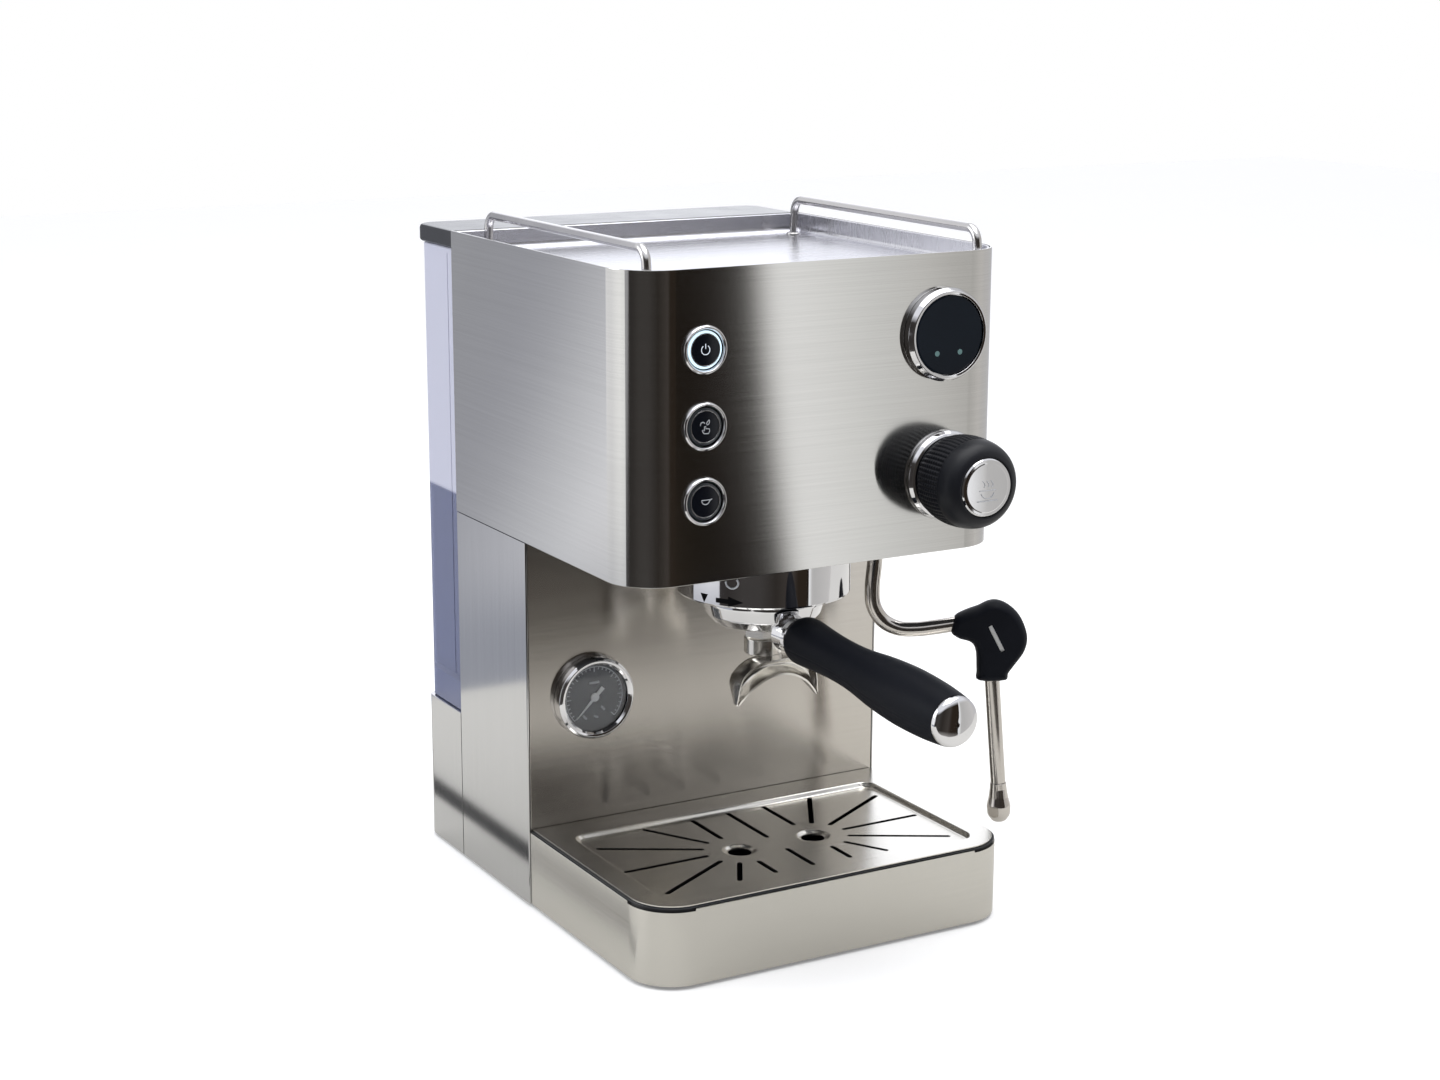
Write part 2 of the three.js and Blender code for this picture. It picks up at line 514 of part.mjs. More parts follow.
// ---- Drip tray ----
const apronOuter = prism(TRAY_HALF_WIDTH, 0, TRAY_BACK, CORNER_RADIUS, 0, 2, 44.4);
const apronInner = prism(TRAY_HALF_WIDTH - SHEET, SHEET, 160, CORNER_RADIUS - SHEET, 0, -5, 60);
const CORNER_STEP_Z = 41.6;
add('tray_apron', cut(
  apronOuter,
  apronInner,
  box(-130, -88, -10, 27, CORNER_STEP_Z, 50),
  box(88, 130, -10, 27, CORNER_STEP_Z, 50),
), STEEL);
const LINER_HALF = TRAY_HALF_WIDTH - SHEET - GAP;
const LINER_CORNER = CORNER_RADIUS - SHEET - GAP;
add('tray_liner', cut(
  join(
    prism(LINER_HALF, SHEET + GAP, TRAY_BACK - 0.2, LINER_CORNER, 0, 8.4, 45.2),
    prism(TRAY_HALF_WIDTH - 0.3, 0.3, TRAY_BACK - 0.2, CORNER_RADIUS - 0.3, 0, 44.7, 45.2),
  ),
  prism(LINER_HALF - 2, SHEET + GAP + 2, TRAY_BACK - 2.2, LINER_CORNER - 2, 4, 10.4, 60),
), BLACK_PLASTIC);

const HOLE_X = 23.7;
const HOLE_Y = 66;
const HOLE_RADIUS = 6.5;
const SLOT_WIDTH = 2.6;
const SLOT_START = 19.5;
const SLOT_ENDS = { 90: 56.5, 60: 63, 30: 78, 0: 71, '-30': 76, '-60': 46, '-90': 38.7 };
const RECESS_HALF = 98.5;
const RECESS_FRONT = 14;
const RECESS_BACK = 124;
const plate = join(
  cut(
    prism(TRAY_HALF_WIDTH - 1.6, 1.6, TRAY_BACK - 0.2, CORNER_RADIUS - 1.6, 0, 45.5, TRAY_TOP),
    prism(RECESS_HALF, RECESS_FRONT, RECESS_BACK, 8, 8, 40, 50),
  ),
  cut(
    prism(RECESS_HALF + 0.8, RECESS_FRONT - 0.8, RECESS_BACK + 0.8, 8.8, 8.8, 42.8, 45.8),
    prism(RECESS_HALF, RECESS_FRONT, RECESS_BACK, 8, 8, 43.6, 50),
  ),
);
const slots = [];
for (const side of [-1, 1]) {
  for (const [angle, end] of Object.entries(SLOT_ENDS)) {
    const slot = box(SLOT_START, end, -SLOT_WIDTH / 2, SLOT_WIDTH / 2, 40, 50)
      .rotateZ(THREE.MathUtils.degToRad(side > 0 ? Number(angle) : 180 - Number(angle)));
    slots.push(slot.translate(side * HOLE_X, HOLE_Y, 0));
  }
  slots.push(upright(side * HOLE_X, HOLE_Y, HOLE_RADIUS, 40, 50, 12));
}
slots.push(box(-SLOT_WIDTH / 2, SLOT_WIDTH / 2, 75.3, 121.5, 40, 50));
slots.push(box(-SLOT_WIDTH / 2, SLOT_WIDTH / 2, 26.2, 55.4, 40, 50));
const slotField = box(-94, 94, 20, 121.5, 30, 60);
const cutters = slots.map((slot) => toGeometry(toSolid(slot).intersect(toSolid(slotField))));
add('drip_grate', cut(plate, ...cutters), STEEL);

// ---- Water tank ----
const TANK_HALF = 113.6;
const TANK_TOP = 363;
add('water_tank', cut(
  prism(TANK_HALF, TANK_FRONT, TANK_BACK, 2, 10, TANK_BOTTOM, TANK_TOP),
  prism(TANK_HALF - 2.2, TANK_FRONT + 2.2, TANK_BACK - 2.2, 1, 8, 110, 380),
  prism(TANK_HALF - 2.2, TANK_FRONT + 2.2, TANK_BACK - 2.2, 1, 8, 80, 107.5),
  upright(0, 262, 9, 80, 120, 14),
), TANK_PLASTIC);
add('tank_lid', join(
  prism(114.6, 236.9, 291, 1, 11, 363.3, 371.6),
  prism(113.4, 238, 289.8, 1, 10, 371, 373.2),
  prism(TANK_HALF - 5, TANK_FRONT + 5, TANK_BACK - 8, 1, 6, 360.5, 364),
), BLACK_PLASTIC);
add('tank_outlet_valve', turned([
  [0, 97], [6, 97], [6, 104], [8.6, 104], [8.6, 110.4], [11, 110.4], [11, 113], [5, 116], [0, 116],
], 14), BLACK_PLASTIC, place(0, 262, 0));

machine.position.set(-ORIGIN_X, -ORIGIN_Y, 0);

export default machine;
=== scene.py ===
"""The looks of the espresso machine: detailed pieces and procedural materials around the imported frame."""
from math import atan2, copysign, cos, hypot, pi, radians, remainder, sin, tan

import bmesh
import bpy
from mathutils import Euler, Matrix, Vector
from mathutils.geometry import delaunay_2d_cdt


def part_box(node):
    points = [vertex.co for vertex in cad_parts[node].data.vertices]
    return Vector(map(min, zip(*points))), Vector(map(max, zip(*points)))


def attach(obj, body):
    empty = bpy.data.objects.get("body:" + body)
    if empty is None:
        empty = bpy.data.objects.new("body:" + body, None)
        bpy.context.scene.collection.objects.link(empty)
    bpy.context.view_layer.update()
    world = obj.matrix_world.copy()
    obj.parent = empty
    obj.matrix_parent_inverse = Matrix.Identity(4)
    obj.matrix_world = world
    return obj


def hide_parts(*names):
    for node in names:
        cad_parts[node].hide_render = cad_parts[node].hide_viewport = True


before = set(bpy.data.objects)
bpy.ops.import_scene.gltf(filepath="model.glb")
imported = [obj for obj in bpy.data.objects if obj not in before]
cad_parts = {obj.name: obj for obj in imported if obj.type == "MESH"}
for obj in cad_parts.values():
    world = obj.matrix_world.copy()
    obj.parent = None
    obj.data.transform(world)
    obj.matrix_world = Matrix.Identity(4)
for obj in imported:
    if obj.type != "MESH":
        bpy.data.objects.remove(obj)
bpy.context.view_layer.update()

# ---- Layout: x from the machine's centre plane, y from the drip tray's front, z from the bench, in mm ----
head_low, head_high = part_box("head_shell")
CENTRE_X = (head_low.x + head_high.x) / 2
FRONT_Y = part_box("tray_apron")[0].y
BODY_HALF = 115.0
TRAY_HALF = 114.2
HEAD_FRONT = 19.5
HEAD_BOTTOM = 211.9
HEAD_TOP = 373.6
COLUMN_FRONT = 144.8
COLUMN_BACK = 236.5
TRAY_BACK = 144.4
TRAY_TOP = 46.2
CORNER = 26.0
SHEET = 1.2
SHEET_EDGE = 0.4
WRAP_STEPS = 24
INNER_HALF = 113.5
INNER_CORNER = 24.5
BUTTON_HOLE = 11.3
DISPLAY_HOLE = 22.1
KNOB_HOLE = 8.0
GAUGE_HOLE = 21.0
GROUP_HOLE = 48.5
WAND_HOLE = 11.5
TANK_VALVE = (0, 262)
GROUP_Y = 82.7
BUTTONS = {"power": 332.7, "single": 293.6, "double": 254.9}
BUTTON_X = -73.0
DISPLAY = (72.0, 330.5)
KNOB = (75.0, 254.0)
GAUGE = (-74.5, 119.0)
WAND = (75.0, 85.0)
WAND_AZIMUTH = radians(-30)
HANDLE_DROOP = radians(2.9)
HANDLE_START = 41.5
HANDLE_Z = 167.3


def place(x, y, z):
    """A layout point, in the frame's metres."""
    return Vector((x / 1000 + CENTRE_X, y / 1000 + FRONT_Y, z / 1000))


# ---- Materials ----
def add_node(tree, kind, inputs, settings):
    """A shader node; inputs hold plain values or the sockets to link from."""
    n = tree.nodes.new(kind)
    for key, value in settings.items():
        setattr(n, key, value)
    for key, value in dict(inputs).items():
        if isinstance(value, bpy.types.NodeSocket):
            tree.links.new(value, n.inputs[key])
        else:
            n.inputs[key].default_value = value
    return n


def fill_ramp(ramp_node, stops):
    """Colour stops of (position, colour) on a colour ramp."""
    elements = ramp_node.color_ramp.elements
    while len(elements) < len(stops):
        elements.new(0.5)
    for element, (position, colour) in zip(elements, stops):
        element.position = position
        element.color = (*colour, 1)
    return ramp_node.outputs["Color"]


class Shader:
    """One material's node tree around a Principled shader."""

    def __init__(self, name, **sockets):
        self.material = bpy.data.materials.new(name)
        self.material.use_nodes = True
        self.tree = self.material.node_tree
        self.bsdf = self.tree.nodes["Principled BSDF"]
        for key, value in sockets.items():
            self.bsdf.inputs[key.replace("_", " ")].default_value = value

    def node(self, kind, inputs=(), **settings):
        return add_node(self.tree, kind, inputs, settings)

    def link(self, source, socket):
        self.tree.links.new(source, self.bsdf.inputs[socket])

    def noise(self, scale, detail=3.0, roughness=0.55):
        """Noise over the object's own coordinates in metres, with its own scale along each axis."""
        where = self.node("ShaderNodeTexCoord").outputs["Object"]
        vector = self.node("ShaderNodeMapping", {"Vector": where, "Scale": scale}).outputs["Vector"]
        settings = {"Vector": vector, "Scale": 1.0, "Detail": detail, "Roughness": roughness}
        return self.node("ShaderNodeTexNoise", settings).outputs["Fac"]

    def ramp(self, factor, stops):
        return fill_ramp(self.node("ShaderNodeValToRGB", {"Fac": factor}), stops)

    def spread(self, factor, low, high, start=0.3, end=0.7):
        values = {"Value": factor, "From Min": start, "From Max": end, "To Min": low, "To Max": high}
        return self.node("ShaderNodeMapRange", values).outputs["Result"]

    def math(self, operation, a, b):
        return self.node("ShaderNodeMath", {0: a, 1: b}, operation=operation).outputs[0]

    def bump(self, height, strength, distance):
        inputs = {"Height": height, "Strength": strength, "Distance": distance}
        self.link(self.node("ShaderNodeBump", inputs).outputs["Normal"], "Normal")


def brushed_steel(name, grain, colour, rough, anisotropic, turn, smudge, relief):
    """Steel with fine scratches: grain is the noise scale, low along the brushing and high across it."""
    s = Shader(name, Metallic=1.0, Anisotropic=anisotropic, Anisotropic_Rotation=turn)
    fine = s.noise(grain, 2.0, 0.6)
    streak = s.noise([g * 0.2 for g in grain], 2.0, 0.5)
    blot = s.noise((7, 7, 7), 4.0, 0.6)
    tone = s.math("ADD", s.math("MULTIPLY", fine, 0.7), s.math("MULTIPLY", streak, 0.3))
    shades = [(0.32, [c * 0.955 for c in colour]), (0.68, [min(1.0, c * 1.045) for c in colour])]
    s.link(s.ramp(tone, shades), "Base Color")
    by_grain = s.spread(tone, rough * 0.93, rough * 1.07)
    by_blot = s.spread(blot, -smudge, smudge)
    s.link(s.math("ADD", by_grain, by_blot), "Roughness")
    s.bump(fine, relief, 0.0001)
    return s.material


WARM_STEEL = (0.615, 0.61, 0.595)
GRAIN_LEVEL = (10, 10, 2600)
GRAIN_UPRIGHT = (2600, 2600, 10)
STEEL_WRAP = brushed_steel("steel_wrap", GRAIN_LEVEL, WARM_STEEL, 0.09, 1.0, 0.25, 0.004, 0.008)
STEEL_APRON = brushed_steel("steel_apron", GRAIN_LEVEL, (0.64, 0.625, 0.59), 0.24, 0.8, 0.25, 0.015, 0.012)
STEEL_COLUMN = brushed_steel("steel_column", GRAIN_UPRIGHT, (0.56, 0.56, 0.565), 0.12, 0.5, 0.0, 0.01, 0.008)
STEEL_SPLASH = brushed_steel("steel_splash", GRAIN_LEVEL, (0.595, 0.565, 0.525), 0.17, 0.9, 0.25, 0.01, 0.012)
STEEL_TRAY = brushed_steel("steel_tray", (10, 1500, 10), (0.66, 0.66, 0.7), 0.27, 0.0, 0.0, 0.02, 0.004)
STEEL_GRATE = brushed_steel("steel_grate", (10, 1500, 10), (0.78, 0.765, 0.72), 0.25, 0.0, 0.0, 0.02, 0.005)


def polished(name, colour, rough=0.04, wear=0.05):
    s = Shader(name, Metallic=1.0)
    blot = s.noise((40, 40, 40), 4.0, 0.6)
    s.link(s.ramp(blot, [(0.3, [c * 0.95 for c in colour]), (0.7, colour)]), "Base Color")
    s.link(s.spread(blot, rough, rough + wear, 0.35, 0.75), "Roughness")
    s.bump(s.noise((500, 500, 500)), 0.015, 0.0001)
    return s.material


CHROME = polished("chrome", (0.74, 0.74, 0.76))
RAIL_STEEL = polished("rail_steel", (0.6, 0.59, 0.59), 0.14, 0.06)
PIPE_STEEL = polished("pipe_steel", (0.6, 0.57, 0.54), 0.12, 0.08)
SPOUT_CHROME = polished("spout_chrome", (0.82, 0.8, 0.76), 0.16, 0.06)
BRASS = polished("brass", (0.72, 0.52, 0.24), 0.22, 0.1)
CAST_ALUMINIUM = polished("cast_aluminium", (0.55, 0.56, 0.57), 0.42, 0.15)


def moulded(name, colour, rough, grain, strength=0.1, vary=0.08, **sockets):
    """Moulded plastic, rubber or paint with a fine surface texture."""
    s = Shader(name, **sockets)
    blot = s.noise((25, 25, 25), 4.0, 0.6)
    s.link(s.ramp(blot, [(0.3, [c * 0.82 for c in colour]), (0.75, [min(1.0, c * 1.2) for c in colour])]),
           "Base Color")
    s.link(s.spread(blot, rough - vary / 2, rough + vary / 2), "Roughness")
    s.bump(s.noise((grain,) * 3), strength, 0.0002)
    return s.material


BLACK_PLASTIC = moulded("black_plastic", (0.014, 0.015, 0.018), 0.42, 1800, Specular_IOR_Level=0.3)
RUBBER = moulded("soft_rubber", (0.006, 0.007, 0.0105), 0.5, 2600, 0.16, 0.1, Specular_IOR_Level=0.08)
KNOB_RUBBER = moulded("knob_rubber", (0.0065, 0.0075, 0.011), 0.4, 2600, 0.1, 0.08, Specular_IOR_Level=0.3)
GLOSS_BLACK = moulded("gloss_black", (0.004, 0.005, 0.008), 0.1, 500, 0.01, 0.04, Specular_IOR_Level=0.25)
LID_BLACK = moulded("lid_black", (0.012, 0.013, 0.017), 0.2, 700, 0.03, 0.06, Specular_IOR_Level=0.35)
DISPLAY_GLASS = moulded("display_glass", (0.005, 0.008, 0.013), 0.14, 500, 0.01, 0.04,
                        Specular_IOR_Level=0.12)
DIAL_FACE = moulded("dial_face", (0.035, 0.038, 0.045), 0.5, 1600, 0.08, Specular_IOR_Level=0.3)
SILICONE = moulded("silicone", (0.68, 0.68, 0.64), 0.45, 900, 0.05)
BOARD_GREEN = moulded("board_green", (0.02, 0.14, 0.06), 0.45, 1200, 0.1)
PUMP_BODY = moulded("pump_plastic", (0.2, 0.15, 0.08), 0.5, 900, 0.1)
# White paint of the gauge needle; the same white also serves as the painted highlight in the wand grip's
# slit.
WHITE_PAINT_AND_HIGHLIGHT = moulded("white_paint_and_painted_highlight", (0.7, 0.7, 0.68), 0.4, 900, 0.04)
GREY_PRINT = moulded("grey_print", (0.42, 0.43, 0.45), 0.5, 900, 0.04)
PALE_PRINT = moulded("pale_print", (0.5, 0.52, 0.55), 0.4, 900, 0.04)
BLACK_PRINT = moulded("black_print", (0.004, 0.004, 0.005), 0.5, 900, 0.04, Specular_IOR_Level=0.05)
SMOKY_RING = moulded("smoky_ring", (0.035, 0.04, 0.045), 0.12, 900, 0.02, 0.05)

TANK_FROST_Z = 0.2215


def tank_plastic():
    """Lavender translucent plastic, frosted above the level line and clearer and bluer below it."""
    s = Shader("tank_plastic_moulded", IOR=1.3)
    where = s.node("ShaderNodeTexCoord").outputs["Object"]
    height = s.node("ShaderNodeSeparateXYZ", {0: where}).outputs["Z"]
    frost = s.spread(height, 0.0, 1.0, TANK_FROST_Z - 0.001, TANK_FROST_Z + 0.001)
    s.link(s.ramp(frost, [(0.0, (0.26, 0.285, 0.43)), (1.0, (0.57, 0.58, 0.69))]), "Base Color")
    s.link(s.math("ADD", s.spread(frost, 0.16, 0.42, 0, 1), s.spread(s.noise((50, 50, 50)), -0.04, 0.04)),
           "Roughness")
    s.link(s.spread(frost, 0.6, 0.2, 0, 1), "Transmission Weight")
    s.bump(s.noise((300, 300, 300)), 0.05, 0.0003)
    return s.material


def clear_glass():
    s = Shader("clear_lens", IOR=1.45, Transmission_Weight=1.0)
    s.link(s.spread(s.noise((60, 60, 60)), 0.01, 0.04), "Roughness")
    s.link(s.ramp(s.noise((40, 40, 40)), [(0.3, (0.93, 0.95, 0.97)), (0.7, (0.97, 0.98, 0.99))]),
           "Base Color")
    return s.material


def glowing(name, colour, strength):
    s = Shader(name, Emission_Strength=strength, Roughness=0.3)
    tint = s.ramp(s.noise((300, 300, 300)), [(0.3, [c * 0.88 for c in colour]), (0.7, colour)])
    s.link(tint, "Base Color")
    s.link(tint, "Emission Color")
    return s.material


TANK_PLASTIC = tank_plastic()
CLEAR_GLASS = clear_glass()
LIT_RING = glowing("lit_ring", (0.66, 0.84, 0.95), 0.75)
LIT_ICON = glowing("lit_icon", (0.75, 0.82, 0.9), 0.35)
FAINT_LED = glowing("faint_led", (0.09, 0.17, 0.17), 0.25)

# ---- Mesh helpers: everything is built in layout millimetres ----
SHARP = radians(32)
UP = Matrix.Identity(4)
TO_FRONT = Matrix.Rotation(pi / 2, 4, "X")


def at(x, y, z, turn=UP):
    return Matrix.Translation((x, y, z)) @ turn


def add_object(name, data):
    thing = bpy.data.objects.new(name, data)
    bpy.context.scene.collection.objects.link(thing)
    return thing


def polar(radius, turn, x=0.0, y=0.0):
    return x + radius * cos(turn), y + radius * sin(turn)


def shade(bm, mesh, sharp):
    """Smooth shading in which large faces keep their own normals; edges above an angle stay sharp."""
    for face in bm.faces:
        face.smooth = True
    bm.to_mesh(mesh)
    bm.normal_update()
    limit = cos(sharp)
    weight = {face: face.normal * face.calc_area() ** 1.5 for face in bm.faces}
    normals = []
    for face in bm.faces:
        for loop in face.loops:
            near = [f for f in loop.vert.link_faces if f.normal.dot(face.normal) >= limit]
            normals.append(sum((weight[f] for f in near), Vector()).normalized())
    mesh.normals_split_custom_set(normals)


def build(name, shape, material, body, replaces=(), where=UP, sharp=SHARP):
    """A mesh piece from (points, faces) in layout millimetres."""
    points, faces = shape
    mesh = bpy.data.meshes.new(name)
    mesh.from_pydata([tuple(p) for p in points], [], faces)
    bm = bmesh.new()
    bm.from_mesh(mesh)
    bmesh.ops.remove_doubles(bm, verts=bm.verts, dist=1e-4)
    bmesh.ops.dissolve_degenerate(bm, dist=1e-5, edges=bm.edges)
    bmesh.ops.recalc_face_normals(bm, faces=bm.faces)
    bmesh.ops.transform(bm, matrix=where, verts=bm.verts)
    for v in bm.verts:
        v.co = place(*v.co)
    shade(bm, mesh, sharp)
    bm.free()
    piece = add_object(name, mesh)
    mesh.materials.append(material)
    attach(piece, body)
    if replaces:
        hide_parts(*replaces)
    return piece


def merged(*shapes):
    """Several (points, faces) shapes as one."""
    points, faces = [], []
    for some_points, some_faces in shapes:
        start = len(points)
        points += some_points
        faces += [[start + i for i in face] for face in some_faces]
    return points, faces


def moved(shape, matrix):
    points, faces = shape
    return [matrix @ Vector(p) for p in points], faces


def arc_corner(before, corner, after, radius, steps):
    """Points of a fillet at a corner of a 2D or 3D path."""
    corner = Vector(corner)
    to_before, to_after = Vector(before) - corner, Vector(after) - corner
    if radius <= 0 or to_before.length < 1e-6 or to_after.length < 1e-6:
        return [corner]
    angle = to_before.angle(to_after)
    if angle > pi - 1e-3:
        return [corner]
    reach = min(radius / tan(angle / 2), 0.49 * to_before.length, 0.49 * to_after.length)
    r = reach * tan(angle / 2)
    back, ahead = to_before.normalized(), to_after.normalized()
    middle = corner + (back + ahead).normalized() * (r / sin(angle / 2))
    a = corner + back * reach - middle
    b = corner + ahead * reach - middle
    sweep = a.angle(b)
    shares = [i / steps for i in range(steps + 1)]
    return [middle + (a * sin((1 - t) * sweep) + b * sin(t * sweep)) / sin(sweep)
            for t in shares]


def filleted(path, steps=4, closed=False):
    """Plain points of a path whose rows end in a fillet radius."""
    points = [Vector(p[:-1]) for p in path]
    count = len(points)
    out = []
    for i in range(count):
        if not closed and i in (0, count - 1):
            out.append(points[i])
        else:
            out += arc_corner(points[i - 1], points[i], points[(i + 1) % count], path[i][-1], steps)
    return out


def lathe(profile, segments, closed=False, radius_of=None):
    """A profile of (radius, height) or (radius, height, fillet) turned about +Z; a closed one is a ring."""
    rows = [p if len(p) == 3 else (*p, 0) for p in profile]
    line = [(max(0.0, p.x), p.y) for p in filleted(rows, 4, closed)]
    if closed:
        line.append(line[0])
    points, faces, rows = [], [], []
    for r, h in line:
        if r < 1e-5:
            rows.append([len(points)] * segments)
            points.append(Vector((0, 0, h)))
            continue
        rows.append(list(range(len(points), len(points) + segments)))
        for i in range(segments):
            a = 2 * pi * i / segments
            rr = radius_of(r, h, a) if radius_of else r
            points.append(Vector((*polar(rr, a), h)))
    for low, high in zip(rows, rows[1:]):
        for i in range(segments):
            j = (i + 1) % segments
            quad = [low[i], low[j], high[j], high[i]]
            quad = [q for n, q in enumerate(quad) if q not in quad[:n]]
            if len(quad) > 2:
                faces.append(quad)
    return points, faces


def loft(rings, caps=(True, True)):
    """Faces between rings of points, each ring closed on itself."""
    count = len(rings[0])
    points = [Vector(p) for ring in rings for p in ring]
    faces = []
    for i in range(len(rings) - 1):
        for k in range(count):
            j = (k + 1) % count
            faces.append([i * count + k, i * count + j, (i + 1) * count + j, (i + 1) * count + k])
    if caps[0]:
        faces.append(list(range(count))[::-1])
    if caps[1]:
        faces.append([(len(rings) - 1) * count + k for k in range(count)])
    return points, faces


def swept(path, radius, sides):
    """A round bar along a path, its rings carried without twist; radius may be a list."""
    path = [Vector(p) for p in path]
    radii = radius if isinstance(radius, (list, tuple)) else [radius] * len(path)
    rings, side = [], None
    for i, p in enumerate(path):
        tangent = (path[min(i + 1, len(path) - 1)] - path[max(i - 1, 0)]).normalized()
        if side is None:
            side = tangent.orthogonal().normalized()
        side = (side - tangent * side.dot(tangent)).normalized()
        other = tangent.cross(side)
        turns = [2 * pi * k / sides for k in range(sides)]
        rings.append([p + (side * cos(a) + other * sin(a)) * radii[i] for a in turns])
    return loft(rings)


def spline(points, steps):
    """A Catmull-Rom curve through the points."""
    pts = [Vector(p) for p in points]
    pts = [pts[0] * 2 - pts[1], *pts, pts[-1] * 2 - pts[-2]]
    out = []
    for i in range(1, len(pts) - 2):
        a, b, c, d = pts[i - 1 : i + 3]
        for t in [k / steps for k in range(steps)]:
            even = 2 * b + (2 * a - 5 * b + 4 * c - d) * t**2
            odd = (c - a) * t + (3 * b - a - 3 * c + d) * t**3
            out.append(0.5 * (even + odd))
    out.append(pts[-2])
    return out


def block(x0, x1, y0, y1, z0, z1):
    return loft([[(x0, y0, z), (x1, y0, z), (x1, y1, z), (x0, y1, z)] for z in (z0, z1)])


def rod(x, y, z, radius, start, end, axis="y", sides=48):
    """A cylinder along Y or Z through a point."""
    rings = []
    for h in (start, end):
        ring = []
        for k in range(sides):
            c, s = polar(radius, 2 * pi * k / sides)
            ring.append((x + c, h, z + s) if axis == "y" else (x + c, y + s, h))
        rings.append(ring)
    return loft(rings)


def plan(half, y0, y1, front, back, inset=0.0, steps=12):
    """A rounded rectangle in plan, moved inwards by an inset, with the same number of points each time."""
    out = []
    corners = [
        (half - front, y0 + front, front, -90),
        (half - back, y1 - back, back, 0),
        (-half + back, y1 - back, back, 90),
        (-half + front, y0 + front, front, 180),
    ]
    for x, y, radius, start in corners:
        r = max(radius - inset, 0.05)
        shift = radius - inset - r
        for i in range(steps + 1):
            a = radians(start + 90 * i / steps)
            sx, sy = (1 if x > 0 else -1), (1 if y > (y0 + y1) / 2 else -1)
            out.append(polar(r, a, x + sx * shift, y + sy * shift))
    return out


def lofted_box(shape, levels):
    """A rounded rectangle in plan, lofted through (inset, z) levels."""
    return loft([[(x, y, z) for x, y in plan(*shape, inset)] for inset, z in levels])


def wrap_path(half, y_front, y_back, radius, inset):
    """The left, front and right run of a wrapped sheet in plan, moved inwards by an inset."""
    r = radius - inset
    out = [(-half + inset, y_back)]
    for cx, start in ((-half + radius, 180), (half - radius, 270)):
        for i in range(WRAP_STEPS + 1):
            a = radians(start + 90 * i / WRAP_STEPS)
            out.append(polar(r, a, cx, y_front + radius))
    out.append((half - inset, y_back))
    return out


def wrapped_sheet(half, y_front, y_back, radius, z0, z1):
    """A sheet wrapped round the front with softened edges, open at the back."""
    rings = []
    edge = SHEET_EDGE
    for z, shrink in ((z0, edge), (z0 + edge * 0.3, edge * 0.3), (z0 + edge, 0.0), (z1 - edge, 0.0),
                      (z1 - edge * 0.3, edge * 0.3), (z1, edge)):
        outer = wrap_path(half, y_front, y_back, radius, shrink)
        inner = wrap_path(half, y_front, y_back, radius, SHEET - shrink)
        rings.append([(x, y, z) for x, y in outer + inner[::-1]])
    return loft(rings)


def cutaway(piece, *tools):
    """Cuts closed tool shapes out of a piece."""
    points, faces = merged(*tools)
    mesh = bpy.data.meshes.new("tool")
    mesh.from_pydata([tuple(place(*p)) for p in points], [], faces)
    bm = bmesh.new()
    bm.from_mesh(mesh)
    bmesh.ops.recalc_face_normals(bm, faces=bm.faces)
    bm.to_mesh(mesh)
    bm.free()
    tool = add_object("tool", mesh)
    modifier = piece.modifiers.new("cut", "BOOLEAN")
    modifier.operation = "DIFFERENCE"
    modifier.solver = "EXACT"
    modifier.object = tool
    graph = bpy.context.evaluated_depsgraph_get()
    cut = bpy.data.meshes.new_from_object(piece.evaluated_get(graph))
    piece.modifiers.clear()
    piece.data = cut
    bpy.data.objects.remove(tool)
    bm = bmesh.new()
    bm.from_mesh(cut)
    shade(bm, cut, SHARP)
    bm.free()
    return piece


def on_front(points, x, y, z):
    """Flat (right, up) drawing points on a face that looks to the front."""
    return [(x + u, y, z + v) for u, v in points]


def arc(radius, start, end, steps, x=0.0, z=0.0):
    turns = [radians(start + (end - start) * i / steps) for i in range(steps + 1)]
    return [polar(radius, a, x, z) for a in turns]


def line_art(lines, width, x, y, z):
    """Thin raised lines of a drawing on a face that looks to the front."""
    return merged(*[swept(on_front(line, x, y, z), width / 2, 8) for line in lines])


def chrome_ring(name, node, profile, where, segments=96):
    """A turned chrome ring of the chassis, in place of one CAD node."""
    build(name, lathe(profile, segments, closed=True), CHROME, "chassis", [node], where)


# ---- Body panels ----
head_sheet = wrapped_sheet(BODY_HALF, HEAD_FRONT, COLUMN_BACK, CORNER, HEAD_BOTTOM, HEAD_TOP)
head = build("head_wrap", head_sheet, STEEL_WRAP, "chassis", ["head_shell"])
holes = [((BUTTON_X, z), BUTTON_HOLE) for z in BUTTONS.values()]
holes += [(DISPLAY, DISPLAY_HOLE), (KNOB, KNOB_HOLE)]
cutaway(head, *[rod(x, 0, z, radius, 10, 30) for (x, z), radius in holes])

for side, sign in (("left", -1), ("right", 1)):
    outer, inner = sign * BODY_HALF, sign * (BODY_HALF - SHEET)
    section = filleted([
        (inner, COLUMN_BACK, 0), (outer, COLUMN_BACK, 0.4), (outer, COLUMN_FRONT, 0.7),
        (inner, COLUMN_FRONT, 0.3), (inner, 146.4, 0), (sign * 103, 146.4, 0), (sign * 103, 147.5, 0),
        (inner, 147.5, 0),
    ], closed=True)
    rings = [[(p.x, p.y, z) for p in section] for z in (2.0, HEAD_BOTTOM - 0.3)]
    build("column_side_" + side, loft(rings), STEEL_COLUMN, "chassis", ["side_panel_" + side])

